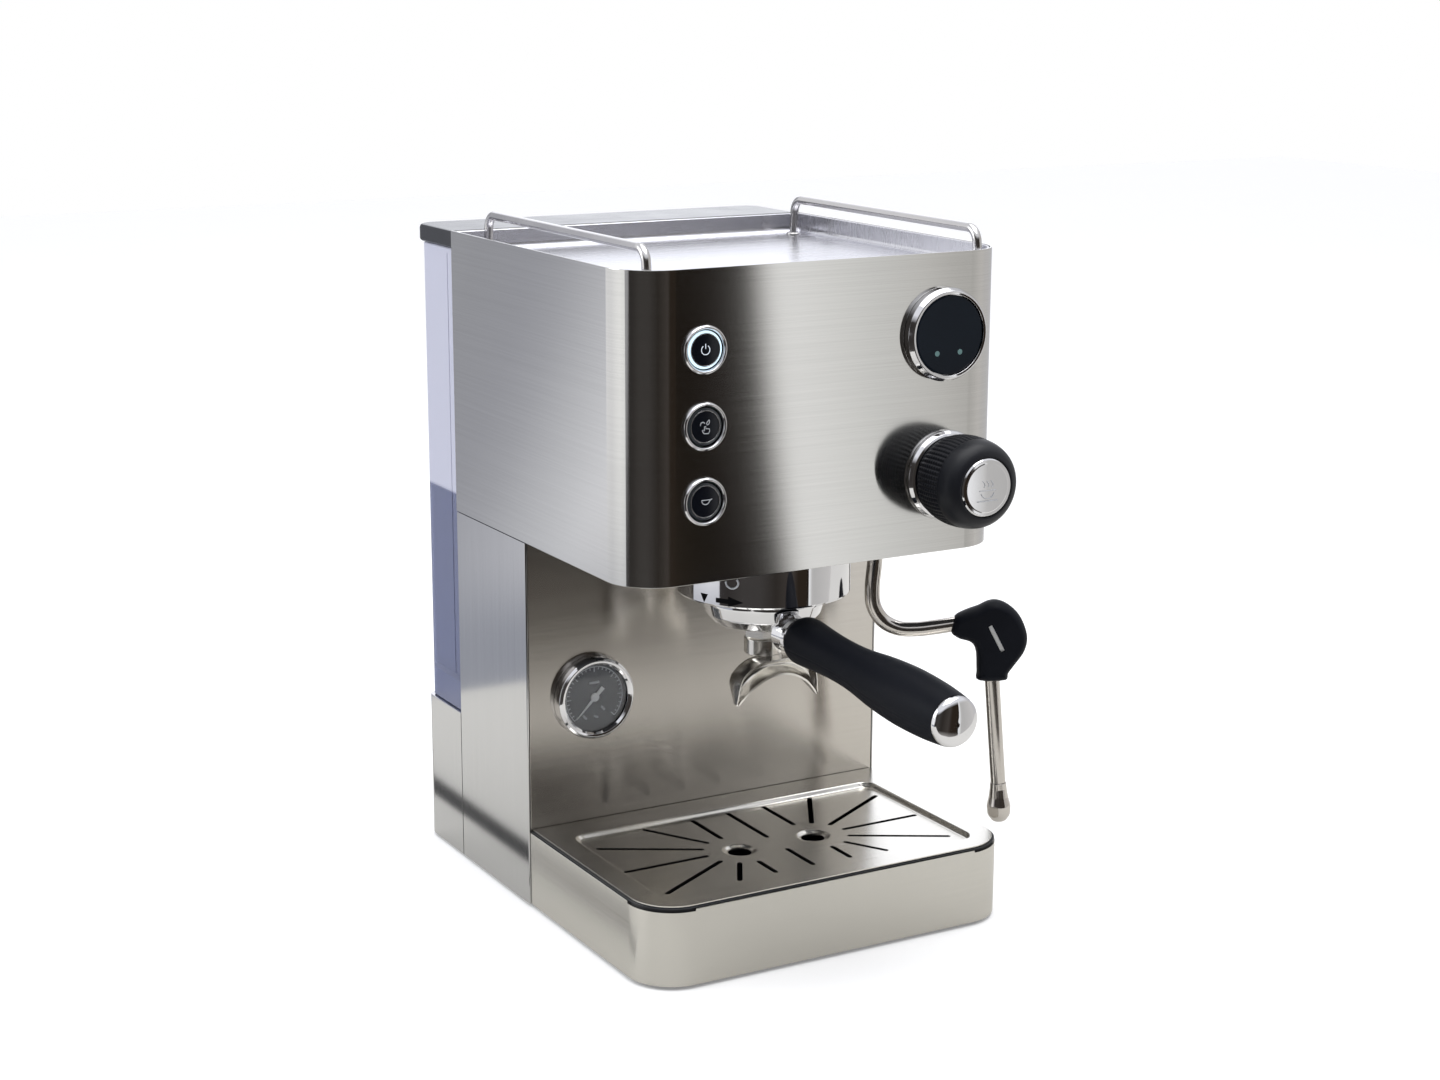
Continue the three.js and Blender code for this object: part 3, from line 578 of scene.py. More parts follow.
levels = [(0.0, COLUMN_FRONT + SHEET), (0.0, COLUMN_FRONT + 0.4), (0.15, COLUMN_FRONT + 0.12),
          (0.4, COLUMN_FRONT)]
corners = [(-INNER_HALF, 8.3), (INNER_HALF, 8.3), (INNER_HALF, 211.6), (-INNER_HALF, 211.6)]
rings = [[(x - copysign(d, x), y, z + (d if z < 100 else -d)) for x, z in corners] for d, y in levels]
splash = build("backsplash", loft(rings), STEEL_SPLASH, "chassis", ["backsplash_panel"])
cutaway(splash, rod(GAUGE[0], 0, GAUGE[1], GAUGE_HOLE, 140, 150))

plate_levels = [(0.4, 212.2), (0, 212.6), (0, 213.8), (0.4, 214.2)]
plate = build("head_underside", lofted_box((INNER_HALF, 21, TRAY_BACK, INNER_CORNER, 0), plate_levels),
              BLACK_PLASTIC, "chassis", ["head_bottom_plate"])
cutaway(plate, rod(0, GROUP_Y, 0, GROUP_HOLE, 205, 220, "z", 96), rod(*WAND, 0, WAND_HOLE, 205, 220, "z"))

rear_shell = lofted_box((BODY_HALF, 237, 287.4, 0, 8), [
    (1.2, 88.8), (1.2, 1.8), (0.1, 1.8), (0, 2.1), (0, 89.3), (0.2, 89.8), (0.7, 90),
])
rear_base = build("rear_base_shell", rear_shell, STEEL_COLUMN, "chassis", ["rear_base_housing"])
inlet_hole = block(-83.8, -56.2, 280, 292, 29.8, 50.2)
cutaway(rear_base, inlet_hole, rod(*TANK_VALVE, 0, 14, 85, 95, "z"))

pan = merged(
    lofted_box((111.5, 4, 237.9, 22, 0), [(1, 5), (0, 5.8), (0, 8)]),
    lofted_box((INNER_HALF, 238.2, 285.9, 0, 6.5),
               [(1, 0), (0.3, 0.3), (0, 1), (0, 8.2), (0.3, 8.8), (0.9, 9)]),
)
build("base_tray_pan", pan, BLACK_PLASTIC, "chassis", ["base_pan"])
foot = lathe([(0, 0), (3.2, 0), (3.6, 0.9, 0.3), (7.4, 0.9, 0.3), (7.8, 0, 0.3), (10.2, 0, 0.8),
              (11, 1.2, 0.5), (11, 4.7), (0, 4.7)], 48)
for name, (x, y) in {"front_left": (-88, 30), "front_right": (88, 30), "rear_left": (-88, 262),
                     "rear_right": (88, 262)}.items():
    build("rubber_foot_" + name, foot, RUBBER, "chassis", ["foot_" + name], at(x, y, 0))

# ---- Top tray and rails ----
dish = lofted_box((INNER_HALF, 21, 234.9, INNER_CORNER, 0), [
    (1.0, 361), (0.3, 361.2), (0, 361.8), (0, 372.8), (0.25, 373.15), (0.6, 373.25), (0.95, 373.15),
    (1.2, 372.8), (1.2, 366), (1.3, 364.6), (1.7, 363.4), (2.5, 362.6), (3.6, 362.25), (4.4, 362.2),
])
build("cup_tray_dish", dish, STEEL_TRAY, "chassis", ["cup_tray"])
for side, sign in (("left", -1), ("right", 1)):
    x = sign * 100
    bends = filleted([(x, 29, 362.4, 0), (x, 31, 383.55, 8), (x, 217, 383.55, 8), (x, 219, 362.4, 0)], 10)
    feet = [moved(lathe([(0, 0), (4.4, 0), (4.4, 0.8, 0.5), (3, 1.6, 0.4), (0, 1.6)], 32), at(x, y, 362.25))
            for y in (29.2, 218.8)]
    build("cup_rail_" + side, merged(swept(bends, 2.5, 28), *feet), RAIL_STEEL, "chassis", ["rail_" + side])

# ---- Push-buttons ----
bezel = [(10.4, -7), (10.4, 1.2, 0.6), (11, 2.3, 0.6), (11.7, 2.5, 0.8), (12.4, 1.6, 0.8), (12.5, 0.2),
         (11.1, 0.2), (11.1, -7)]
cap = lathe([(0, -11), (3, -11), (3, -6.5), (10, -6.5), (10, 0.4, 0.5), (9.2, 0.8, 0.3), (8.2, 0.9, 0.2),
             (8.0, 1.3, 0.3), (0, 1.5)], 72)
line = lathe([(8.05, 1.0), (8.05, 1.45, 0.1), (8.5, 1.45, 0.1), (8.5, 1.0)], 72, closed=True)
halo = lathe([(8.35, 0.4), (8.35, 1.1, 0.2), (9.6, 0.95, 0.3), (9.85, 0.4)], 72, closed=True)
cup_icon = [arc(2.3, 180, 360, 14, 0.2, 0.9) + [(2.5, 0.9), (-2.1, 0.9)],
            [(2.5, 0.4), (3.5, 1.2), (3.9, 1.0)]]
drop = [(2.2, 3.4), (0.9, 2.4), (0.6, 1.5), (1.0, 0.9), (1.8, 1.2), (2.3, 2.0), (2.2, 3.4)]
hand = [(-0.9, -3.4), (-1.9, -1.8), (-1.4, -1.5), (-0.6, -2.1), (-0.6, 0.2), (0.1, 0.3), (0.2, -0.9),
        (2.3, -1.2), (2.4, -2.4), (1.7, -3.6), (-0.9, -3.4)]
ICONS = {
    "power": [arc(2.4, 125, 415, 26), [(0, 3.1), (0, 0.6)]],
    "single": [drop, arc(1.3, 20, 200, 8, -1.6, 1.2), hand],
    "double": cup_icon,
}
for name, z in BUTTONS.items():
    spot = at(BUTTON_X, HEAD_FRONT, z, TO_FRONT)
    body = "button_" + name
    chrome_ring("bezel_ring_" + name, "button_bezel_" + name, bezel, spot, 72)
    build("push_cap_" + name, cap, GLOSS_BLACK, body, ["button_cap_" + name], spot)
    build("cap_line_" + name, line, CHROME, body, where=spot)
    build("light_ring_" + name, halo, LIT_RING if name == "power" else SMOKY_RING, body,
          where=spot)
    icon = line_art(ICONS[name], 0.42, BUTTON_X, HEAD_FRONT - 1.45, z)
    build("icon_" + name, icon, LIT_ICON if name == "power" else PALE_PRINT, body)

# ---- Display ----
spot = at(DISPLAY[0], HEAD_FRONT, DISPLAY[1], TO_FRONT)
ring = [(21.7, -6), (21.7, 0.3), (25, 0.3, 0.2), (25, 4, 1.2), (23.2, 6.7, 0.8), (21.6, 6.4, 0.3),
        (21.5, 2.4), (20.3, 2.4), (20.3, -6)]
chrome_ring("display_ring", "display_bezel", ring, spot)
glass = lathe([(0, -5), (19.9, -5), (19.9, 2.7), (21.2, 2.7), (21.2, 5.6, 0.4), (20.2, 5.9, 0.4), (0, 5.9)],
              96)
build("display_window", glass, DISPLAY_GLASS, "chassis", ["display_glass"], spot)
for name, x, z in (("left", -7.6, -9.4), ("right", 6.9, -9.4)):
    lamp = lathe([(0, 0), (1.5, 0), (1.4, 0.12), (0, 0.14)], 24)
    where = at(DISPLAY[0] + x, HEAD_FRONT - 5.88, DISPLAY[1] + z, TO_FRONT)
    build("display_lamp_" + name, lamp, FAINT_LED, "chassis", where=where)

# ---- Steam knob ----
spot = at(KNOB[0], HEAD_FRONT, KNOB[1], TO_FRONT)
collar = [(7.7, -5), (7.7, 0.3), (24.5, 0.3, 0.3), (24.5, 2.2, 1), (23.2, 4, 0.8), (22, 4.6, 0.4), (5, 4.6),
          (5, -5)]
chrome_ring("knob_base_ring", "knob_collar", collar, spot)
KNURL_COLUMNS = 58
KNURL_PITCH = 2.1
KNURL_FROM, KNURL_TO = 6.2, 27.5
KNURL_DEPTH = 0.6
KNURL_FADE = 0.6
KNURL_MIN_RADIUS = 20.0


def square_wave(turn):
    """A wave of steep-sided teeth, from 0 in the groove to 1 on the tooth."""
    return min(1.0, max(0.0, 0.65 + 1.1 * cos(turn)))


def knurled(r, h, a):
    """Rows and columns of small raised squares round the knob's side."""
    if r < KNURL_MIN_RADIUS or not KNURL_FROM <= h <= KNURL_TO:
        return r
    edge = min(1.0, (h - KNURL_FROM) / KNURL_FADE, (KNURL_TO - h) / KNURL_FADE)
    column = square_wave(a * KNURL_COLUMNS)
    row = square_wave(2 * pi * (h - KNURL_FROM) / KNURL_PITCH + pi)
    return r - KNURL_DEPTH * edge * (1 - column * (0.45 + 0.55 * row))


side_line = [tuple(p) for p in spline([
    (21.2, 5), (22.6, 7.4), (24, 11.5), (24.7, 18), (24.5, 24), (23.7, 30), (22.2, 34.4), (19.8, 37.2),
    (17.2, 38.5), (16, 38.6),
], 12)]
inside = [(16, 35.5), (0, 35.5), (0, 24), (4.4, 24), (4.4, 5)]
grip = lathe([*inside[2:], *side_line, *inside[:2]], KNURL_COLUMNS * 8, radius_of=knurled)
build("knob_grip", grip, KNOB_RUBBER, "steam_knob", ["steam_knob"], spot, radians(60))
knob_disc = lathe([(0, 35.8), (15.7, 35.8), (15.7, 38.4, 0.5), (14.9, 39.2, 0.5), (13.4, 39.3, 0.3),
                   (12.9, 39.45, 0.3), (0, 39.9)], 96)
build("knob_disc", knob_disc, CHROME, "steam_knob", ["knob_cap"], spot)
waves = [[(x + 0.7 * sin(t * 1.9), 0.6 + 1.5 * t) for t in [k / 4 for k in range(10)]]
         for x in (-2.6, 0, 2.6)]
steam_icon = [*waves, [(-5.2, -1.2), (5.2, -1.2)], arc(4.4, 200, 340, 14, 0, -1.2),
              [(-6.4, -6.8), (6.4, -6.8)]]
icon = line_art(steam_icon, 0.55, KNOB[0], HEAD_FRONT - 39.82, KNOB[1])
build("knob_steam_mark", icon, GREY_PRINT, "steam_knob")

# ---- Pressure gauge ----
spot = at(GAUGE[0], COLUMN_FRONT, GAUGE[1], TO_FRONT)
ring = [(20.9, 0.3), (24, 0.3, 0.2), (24, 3.6, 1), (23.4, 6.3, 1), (22, 7.5, 0.8), (20.6, 7.3, 0.5),
        (19.4, 6.2, 0.3), (19.4, 5.7), (20.9, 5.7)]
chrome_ring("gauge_ring", "gauge_bezel", ring, spot)
case = lathe([(0, -34), (4.5, -34), (4.5, -26), (20.4, -26, 1), (20.4, 2.2), (1.4, 2.2), (1.4, 1.2),
              (0, 1.2)], 72)
build("gauge_dial_case", case, DIAL_FACE, "chassis", ["gauge_case"], spot)
ticks = []
for i in range(31):
    turn = radians(225 - 9 * i)
    start = 14.6 if i % 5 == 0 else 15.9
    ticks.append([polar(r, turn) for r in (start, 17.3)])
ticks.append(arc(17.6, -45, 225, 40))
small_marks = [[(-7.2, -10.0), (-5.0, -12.4)], [(-0.6, -11.0), (2.2, -12.2)], [(4.2, -6.0), (6.4, -8.4)],
               [(-3, 8.4), (3, 8.4)]]
marks = merged(
    line_art(ticks, 0.6, GAUGE[0], COLUMN_FRONT - 2.3, GAUGE[1]),
    line_art(small_marks, 1.5, GAUGE[0], COLUMN_FRONT - 2.0, GAUGE[1]),
)
build("gauge_marks", marks, GREY_PRINT, "chassis")
needle = merged(
    loft([[(-16.5, -0.12, z), (0, -0.9, z), (7.2, -1.3, z), (7.2, 1.3, z), (0, 0.9, z), (-16.5, 0.12, z)]
          for z in (2.9, 3.4)]),
    lathe([(0, 1.5), (1, 1.5), (1, 2.8), (2.6, 2.8), (2.6, 3.5, 0.3), (0, 3.8)], 32),
)
needle_turn = at(GAUGE[0], COLUMN_FRONT, GAUGE[1], TO_FRONT @ Matrix.Rotation(radians(45), 4, "Z"))
build("gauge_pointer", needle, WHITE_PAINT_AND_HIGHLIGHT, "gauge_needle", ["gauge_needle"], needle_turn)
lens = lathe([(0, 4.2), (20.5, 4.2), (20.5, 5.4), (0, 5.4)], 72)
build("gauge_window", lens, CLEAR_GLASS, "chassis", ["gauge_lens"], spot)

# ---- Group collar with its lock marks ----
spot = at(0, GROUP_Y, 0)
COLLAR_RADIUS = 47.8
ring = [(44.8, 186.6), (45.4, 186, 0.3), (47.2, 186.2, 0.5), (COLLAR_RADIUS, 187.2, 0.4),
        (COLLAR_RADIUS, 222), (44.8, 222)]
chrome_ring("group_sleeve", "group_collar", ring, spot, 144)

MARK_ROOT, MARK_RISE = 0.2, 0.06
PADLOCK_TURN = -141


def collar_mark(rows):
    """A thin mark on the collar from rows of (azimuth in degrees, lower z, upper z)."""
    rings = []
    for azimuth, low, high in rows:
        turn, under, over = radians(azimuth), COLLAR_RADIUS - MARK_ROOT, COLLAR_RADIUS + MARK_RISE
        corners = [(under, low), (over, low), (over, high), (under, high)]
        rings.append([(*polar(r, turn), z) for r, z in corners])
    return loft(rings)


def marks_between(start, end, count, low, high):
    """Rows of a mark whose edges run straight from (low, high) at the start to those at the end."""
    shares = [i / count for i in range(count + 1)]
    return [(start + (end - start) * t, low[0] + (low[1] - low[0]) * t, high[0] + (high[1] - high[0]) * t)
            for t in shares]


padlock = [(*polar(COLLAR_RADIUS, radians(PADLOCK_TURN + 4.2 * sin(t))), 200.4 - 3 * cos(t))
           for t in [radians(-100 + 10 * k) for k in range(24)]]
lock_marks = merged(
    collar_mark(marks_between(-165.2, -162.1, 3, (192.1, 187.3), (192.2, 192.2))),
    collar_mark(marks_between(-162.1, -159.0, 3, (187.3, 192.1), (192.2, 192.2))),
    collar_mark(marks_between(-152.6, -143.6, 6, (188.6, 188.6), (191.2, 191.2))),
    collar_mark(marks_between(-143.6, -133.6, 6, (187.1, 189.8), (192.7, 190.0))),
)
build("lock_marks", lock_marks, BLACK_PRINT, "chassis", where=spot)
build("lock_symbol", swept(padlock, 0.55, 10), PALE_PRINT, "chassis", where=spot)

# ---- Portafilter ----
bowl = lathe([(4, 166.5), (20, 166.5, 3), (27.5, 169, 4), (32, 174, 4), (34.2, 181, 6), (34.5, 186.6, 0.4),
              (32.4, 187.1, 0.4), (32, 199.2, 0.4), (27.4, 199.2, 0.4), (27.4, 180, 3), (24, 172, 3),
              (4, 169.5)], 128, closed=True)


def lug(middle):
    turns = [radians(middle - 17 + 34 * i / 12) for i in range(13)]
    corners = [(31.5, 192), (36, 192.4), (36, 196.1), (31.5, 196.5)]
    return loft([[(*polar(r, a), z) for r, z in corners] for a in turns])


handle_at = at(0, GROUP_Y - HANDLE_START * cos(HANDLE_DROOP), HANDLE_Z,
               Matrix.Rotation(pi / 2 + HANDLE_DROOP, 4, "X"))
neck = moved(lathe([(0, -14), (11, -14), (9.6, -7, 4), (8.2, -4.4, 1.2), (8.2, -3.6, 0.4), (10.4, -2.9, 0.4),
                    (10.4, -0.4, 0.4), (4, -0.3), (4, 34), (0, 34)], 72), at(0, -GROUP_Y, 0) @ handle_at)
build("portafilter_bowl", merged(bowl, lug(0), lug(180), neck), CHROME, "portafilter", ["portafilter_body"],
      spot)
basket = lathe([(0, 175.6), (23, 175.6, 1), (26.4, 186, 2), (26.4, 199.5, 0.3), (29.8, 199.5, 0.3),
                (29.8, 200.2, 0.3), (25.7, 200.2, 0.3), (25.7, 186.2, 2), (22.4, 176.3, 1), (0, 176.3)], 96)
build("coffee_basket", basket, STEEL_GRATE, "portafilter", ["filter_basket"], spot)
handle_line = [tuple(p) for p in spline([
    (11.0, 0), (12.5, 1.2), (13.2, 4), (13.1, 9), (12.3, 20), (11.6, 34), (11.6, 47), (12.1, 58),
    (13.1, 68), (14.2, 78), (15.1, 90), (15.6, 102), (15.5, 114), (15.0, 126), (14.1, 136), (13.4, 141.7),
], 6)]


SEAM_TURNS = (-12, 192)
SEAM_DEPTH = 0.22


def with_seam(r, h, a):
    """A shallow mould line along both sides of the handle, a little below its middle."""
    near = min(abs(remainder(a - radians(turn), 2 * pi)) for turn in SEAM_TURNS)
    return r - SEAM_DEPTH if near < 0.02 and 3 < h < 140 and r > 10 else r


handle = lathe([(0, 35), (4.4, 35), (4.4, 0), *handle_line, (0, 141.7)], 150, radius_of=with_seam)
build("handle_grip", handle, RUBBER, "portafilter", ["portafilter_handle"], handle_at,
      radians(50))
end_line = [tuple(p) for p in spline([
    (13.2, 142), (13.15, 142.8), (12.7, 144.2), (11.4, 145.6), (8.4, 147.0), (4.4, 147.9), (0, 148.2),
], 6)]
build("handle_dome", lathe([(0, 142), *end_line], 96), CHROME, "portafilter", ["handle_end_cap"],
      handle_at)

# The double spout: one arch with a hollow front face, from tip to tip.
# Rows of the right half: lower edge (x, z), upper edge (x, z), y of the front rim, depth of the body.
SPOUT_ROWS = [
    (0, 141.5, 0, 150.8, -20.2, 22),
    (8, 140.2, 11, 150.4, -20, 21),
    (16, 135.8, 19, 146.6, -19.2, 19),
    (21, 131, 23.8, 140.6, -18.2, 16),
    (24.9, 126.2, 26, 127.6, -16.7, 4.5),
]
SPOUT_WALL = 1.1
HOLLOW = 0.34
left_rows = [(-lx, lz, -ux, uz, rim, depth) for lx, lz, ux, uz, rim, depth in SPOUT_ROWS[:0:-1]]
rings = []
for lx, lz, ux, uz, rim, depth in spline(left_rows + SPOUT_ROWS, 8):
    middle, half = Vector(((lx + ux) / 2, rim, (lz + uz) / 2)), Vector(((lx - ux) / 2, 0, (lz - uz) / 2))
    wall = min(SPOUT_WALL, half.length * 0.45)
    ring = []
    for inset, back, turns in ((wall, depth * HOLLOW, range(17)), (0, depth, range(16, -1, -1))):
        across = half * ((half.length - inset) / half.length)
        for k in turns:
            t = pi * k / 16
            ring.append(middle + across * cos(t) + Vector((0, back * sin(t), 0)))
    rings.append(ring)
hub = lathe([(2.4, 150), (10.4, 150, 0.6), (10.4, 158.6, 0.3), (9.6, 159.2, 0.3), (2.4, 159.2)], 72,
            closed=True)
nut = lathe([(2.4, 159.2), (10.2, 159.2), (11, 160), (11, 165.4), (10.2, 166.2), (2.4, 166.2)], 6,
            closed=True)
spout = merged(loft(rings), hub, nut)
build("double_spout", spout, SPOUT_CHROME, "portafilter", ["portafilter_spout"], spot)

# ---- Steam wand ----
spot = at(*WAND, 0)
nut = [(6.9, 203), (8.6, 203, 0.4), (10.6, 204.5, 0.6), (10.6, 216.6), (9, 216.6), (9, 204.4), (6.9, 204.2)]
chrome_ring("wand_ring_nut", "wand_nut", nut, spot, 72)
wand_at = spot @ Matrix.Rotation(WAND_AZIMUTH, 4, "Z")
wand_line = spline([
    (0, 0, 209), (0, 0, 200), (-0.5, 0, 190), (-1.5, 0, 177), (-0.5, 0, 166), (5, 0, 157.4), (14, 0, 153),
    (24, 0, 152.6), (34, 0, 153.8), (45, 0, 155.6), (55, 0, 157.4), (61.5, 0, 156.5), (65.4, 0, 151),
    (66.4, 0, 142), (67.2, 0, 130), (68, 0, 121), (70.6, 0, 90), (73, 0, 61.6),
], 8)
ball = [(6.3 * sin(t), 210 - 6.3 * cos(t)) for t in [pi * k / 20 for k in range(21)]]
pipe = merged(swept(wand_line, 4.3, 32), lathe(ball, 48))
build("wand_tube", pipe, PIPE_STEEL, "wand", ["wand_pipe"], wand_at)
tip_lean = atan2(3.2, 62)
tip = lathe([(0, 0.3), (4.7, 0.3, 0.3), (4.9, 4, 6), (5.6, 9, 8), (6.9, 14, 6), (6.6, 19.5, 5),
             (4, 23.2, 2.4), (0, 24.2)], 72)
tip_at = wand_at @ at(73, 0, 61.6, Matrix.Rotation(-tip_lean, 4, "Y") @ Matrix.Rotation(pi, 4, "X"))
build("wand_nozzle", tip, PIPE_STEEL, "wand", ["wand_tip"], tip_at)

GRIP_HALF = 8.0
grip_corners = [
    (44.5, 149.8), (43, 153), (44, 157.5), (46.6, 161.2), (52.4, 164.2), (58.8, 166.6), (64, 169.2),
    (69.3, 169.9), (75.8, 167.3), (82.2, 161.2), (86.2, 152.6), (87, 145.9), (85, 139.2), (80.4, 132.5),
    (76.9, 127.4), (75, 123.2), (60, 123), (58.8, 128), (58.3, 138), (56.8, 143.3), (53.8, 146),
    (48.6, 147.4),
]
count = len(grip_corners)
loop = spline([grip_corners[i % count] for i in range(count + 1)], 4)[:-1]
loop = [Vector((p.x, p.y)) for p in loop]


def shrunk(points, amount):
    """A closed outline moved inwards along its own normals."""
    out = []
    for i, p in enumerate(points):
        tangent = (points[(i + 2) % len(points)] - points[i - 2]).normalized()
        out.append(p + Vector((-tangent.y, tangent.x)) * amount)
    return out


area = sum(a.cross(b) for a, b in zip(loop, loop[1:] + loop[:1]))
inwards = 1 if area > 0 else -1
rings = []
for depth_turn in range(-9, 10):
    a = radians(depth_turn * 10)
    inset = 4.2 * (1 - cos(a))
    y = GRIP_HALF * sin(a) if abs(depth_turn) < 9 else copysign(GRIP_HALF, depth_turn)
    rings.append([(p.x, y, p.y) for p in shrunk(loop, inwards * inset)])
steam_grip = build("wand_holder", loft(rings), RUBBER, "wand", ["wand_grip"], wand_at,
                   radians(50))
slit_at = wand_at @ at(68.9, 0, 149, Matrix.Rotation(-atan2(8, 15.5), 4, "Y"))
cutaway(steam_grip, moved(block(-1.2, 1.2, -9, -5.4, -8.6, 8.6), slit_at))
# Painted highlight: a white strip set into the slit stands in for the bright glint seen there.
slit_highlight_strip = block(-1.15, 1.15, -6.4, -5.5, -8.5, 8.5)
build("wand_holder_slit_highlight", slit_highlight_strip, WHITE_PAINT_AND_HIGHLIGHT, "wand", where=slit_at)

# ---- Drip tray ----
apron = build("apron_wrap", wrapped_sheet(TRAY_HALF, 0, TRAY_BACK, CORNER, 2, 44.4), STEEL_APRON, "drip_tray",
              ["tray_apron"])
cutaway(apron, block(-130, -88, -10, 27, 43.1, 50), block(88, 130, -10, 27, 43.1, 50))
tub = lofted_box((112.7, 1.5, 144.2, 24.5, 0), [
    (1.5, 8.4), (0.4, 8.8), (0, 9.8), (0, 44.9), (2.0, 44.9), (2.0, 12.2), (2.6, 11), (3.9, 10.4),
])
TRAY_INNER_BACK = 144.2
flange_shape = (113.9, 0.3, TRAY_INNER_BACK, 25.7, 0)
flange_levels = [(0.2, 44.7), (0, 44.85), (0, 45.05), (0.2, 45.2), (3.0, 45.2), (3.0, 44.7), (0.2, 44.7)]
flange_rings = [[(x, min(y, TRAY_INNER_BACK), z) for x, y in plan(*flange_shape, inset)]
                for inset, z in flange_levels]
flange = loft(flange_rings, (False, False))
build("tray_tub", merged(tub, flange), BLACK_PLASTIC, "drip_tray", ["tray_liner"])

# The grate: one pressed plate, a height over a flat drawing of its outline, recess, dimples and slots.
GRATE_HALF, GRATE_FRONT, GRATE_BACK, GRATE_RADIUS = 112.6, 1.6, 144.2, 24.4
GRATE_SHAPE = (GRATE_HALF, GRATE_FRONT, GRATE_BACK, GRATE_RADIUS, 0)
RECESS = (98.5, 14, 124, 8, 8)
RECESS_Z = 43.6
PLATE = 0.7
HOLE_X = 23.7
HOLE_Y = 66.0
HOLE_RADIUS = 6.6
DIMPLE_RADIUS = 9.6
SLOT_HALF = 1.5
SLOT_END_STEPS = 5
SLOT_START = 19.5
LEFT_SLOTS = {90: 54.0, 60: 54 / sin(radians(60)), 30: 78, 0: 71, -30: 76, -60: 46, -90: 38.7}
RIGHT_SLOTS = {**LEFT_SLOTS, 0: 68.8}


def slot_ends():
    """Both ends of each slot's middle line."""
    for side, slots in ((-1, LEFT_SLOTS), (1, RIGHT_SLOTS)):
        for turn, reach in slots.items():
            c, s = side * cos(radians(turn)), sin(radians(turn))
            yield [Vector((side * HOLE_X + c * r, HOLE_Y + s * r)) for r in (SLOT_START + SLOT_HALF, reach)]
    yield [Vector((0, 76.6)), Vector((0, 120.2))]
    yield [Vector((0, 27.5)), Vector((0, 54.1))]


def slot_outline(a, b):
    turn = atan2(b.y - a.y, b.x - a.x)
    out = []
    for centre, start in ((b, turn - pi / 2), (a, turn + pi / 2)):
        for i in range(SLOT_END_STEPS + 1):
            t = start + pi * i / SLOT_END_STEPS
            out.append(polar(SLOT_HALF, t, *centre))
    return out


def box_distance(x, y, half, y0, y1, radius):
    """Distance outside a rounded rectangle, negative inside."""
    dx = abs(x) - half + radius
    dy = abs(y - (y0 + y1) / 2) - (y1 - y0) / 2 + radius
    return hypot(max(dx, 0), max(dy, 0)) + min(max(dx, dy), 0) - radius


def smooth(t):
    t = min(1.0, max(0.0, t))
    return t * t * (3 - 2 * t)


def grate_height(x, y):
    outside = box_distance(x, y, *RECESS[:4])
    z = RECESS_Z + (TRAY_TOP - RECESS_Z) * smooth((outside + 2.4) / 3.0)
    for side in (-1, 1):
        r = hypot(x - side * HOLE_X, y - HOLE_Y)
        z -= 1.5 * smooth((DIMPLE_RADIUS - r) / (DIMPLE_RADIUS - HOLE_RADIUS))
    return z


loops = [plan(*GRATE_SHAPE, inset) for inset in (0, 3)]
loops += [plan(*RECESS, inset, 8) for inset in (-1.6, -0.6, -0.2, 0.2, 0.6, 1.0, 1.4, 1.8, 2.4, 3.2)]
outlines = [slot_outline(a, b) for a, b in slot_ends()]
hole_turns = [2 * pi * k / 40 for k in range(40)]
for side in (-1, 1):
    for r in (HOLE_RADIUS, 7.0, 7.5, 8.0, 8.6, 9.2, 9.8, 10.6):
        outlines.append([polar(r, t, side * HOLE_X, HOLE_Y) for t in hole_turns])
flat_points, flat_edges = [], []
for loop_points in loops + outlines:
    start = len(flat_points)
    flat_points += [Vector(p) for p in loop_points]
    flat_edges += [(start + i, start + (i + 1) % len(loop_points)) for i in range(len(loop_points))]
made = delaunay_2d_cdt(flat_points, flat_edges, [], 0, 1e-5)
gaps = list(slot_ends())


def is_open(p):
    """Whether a flat point lies in a slot, in a drain hole or off the plate."""
    if box_distance(p.x, p.y, GRATE_HALF, GRATE_FRONT, GRATE_BACK + GRATE_RADIUS, GRATE_RADIUS) > -1e-4:
        return True
    if p.y > GRATE_BACK:
        return True
    if any((p - Vector((side * HOLE_X, HOLE_Y))).length < HOLE_RADIUS * 0.999 for side in (-1, 1)):
        return True
    for a, b in gaps:
        t = min(1.0, max(0.0, (p - a).dot(b - a) / (b - a).length_squared))
        if (p - a - (b - a) * t).length < SLOT_HALF * 0.97:
            return True
    return False


top = [f for f in made[2] if not is_open(sum((made[0][i] for i in f), Vector((0, 0))) / len(f))]
points = [Vector((p.x, p.y, grate_height(p.x, p.y))) for p in made[0]]
points += [p - Vector((0, 0, PLATE)) for p in points]
edges = dict.fromkeys((f[i], f[(i + 1) % len(f)]) for f in top for i in range(len(f)))
borders = [edge for edge in edges if edge[::-1] not in edges]
shift = len(made[0])
faces = [list(f) for f in top] + [[i + shift for i in f][::-1] for f in top]
faces += [[b, a, a + shift, b + shift] for a, b in borders]
used = sorted({i for f in faces for i in f})
renumber = {old: new for new, old in enumerate(used)}
grate_mesh = ([points[i] for i in used], [[renumber[i] for i in f] for f in faces])
build("grate_plate", grate_mesh, STEEL_GRATE, "drip_grate", ["drip_grate"], sharp=radians(40))

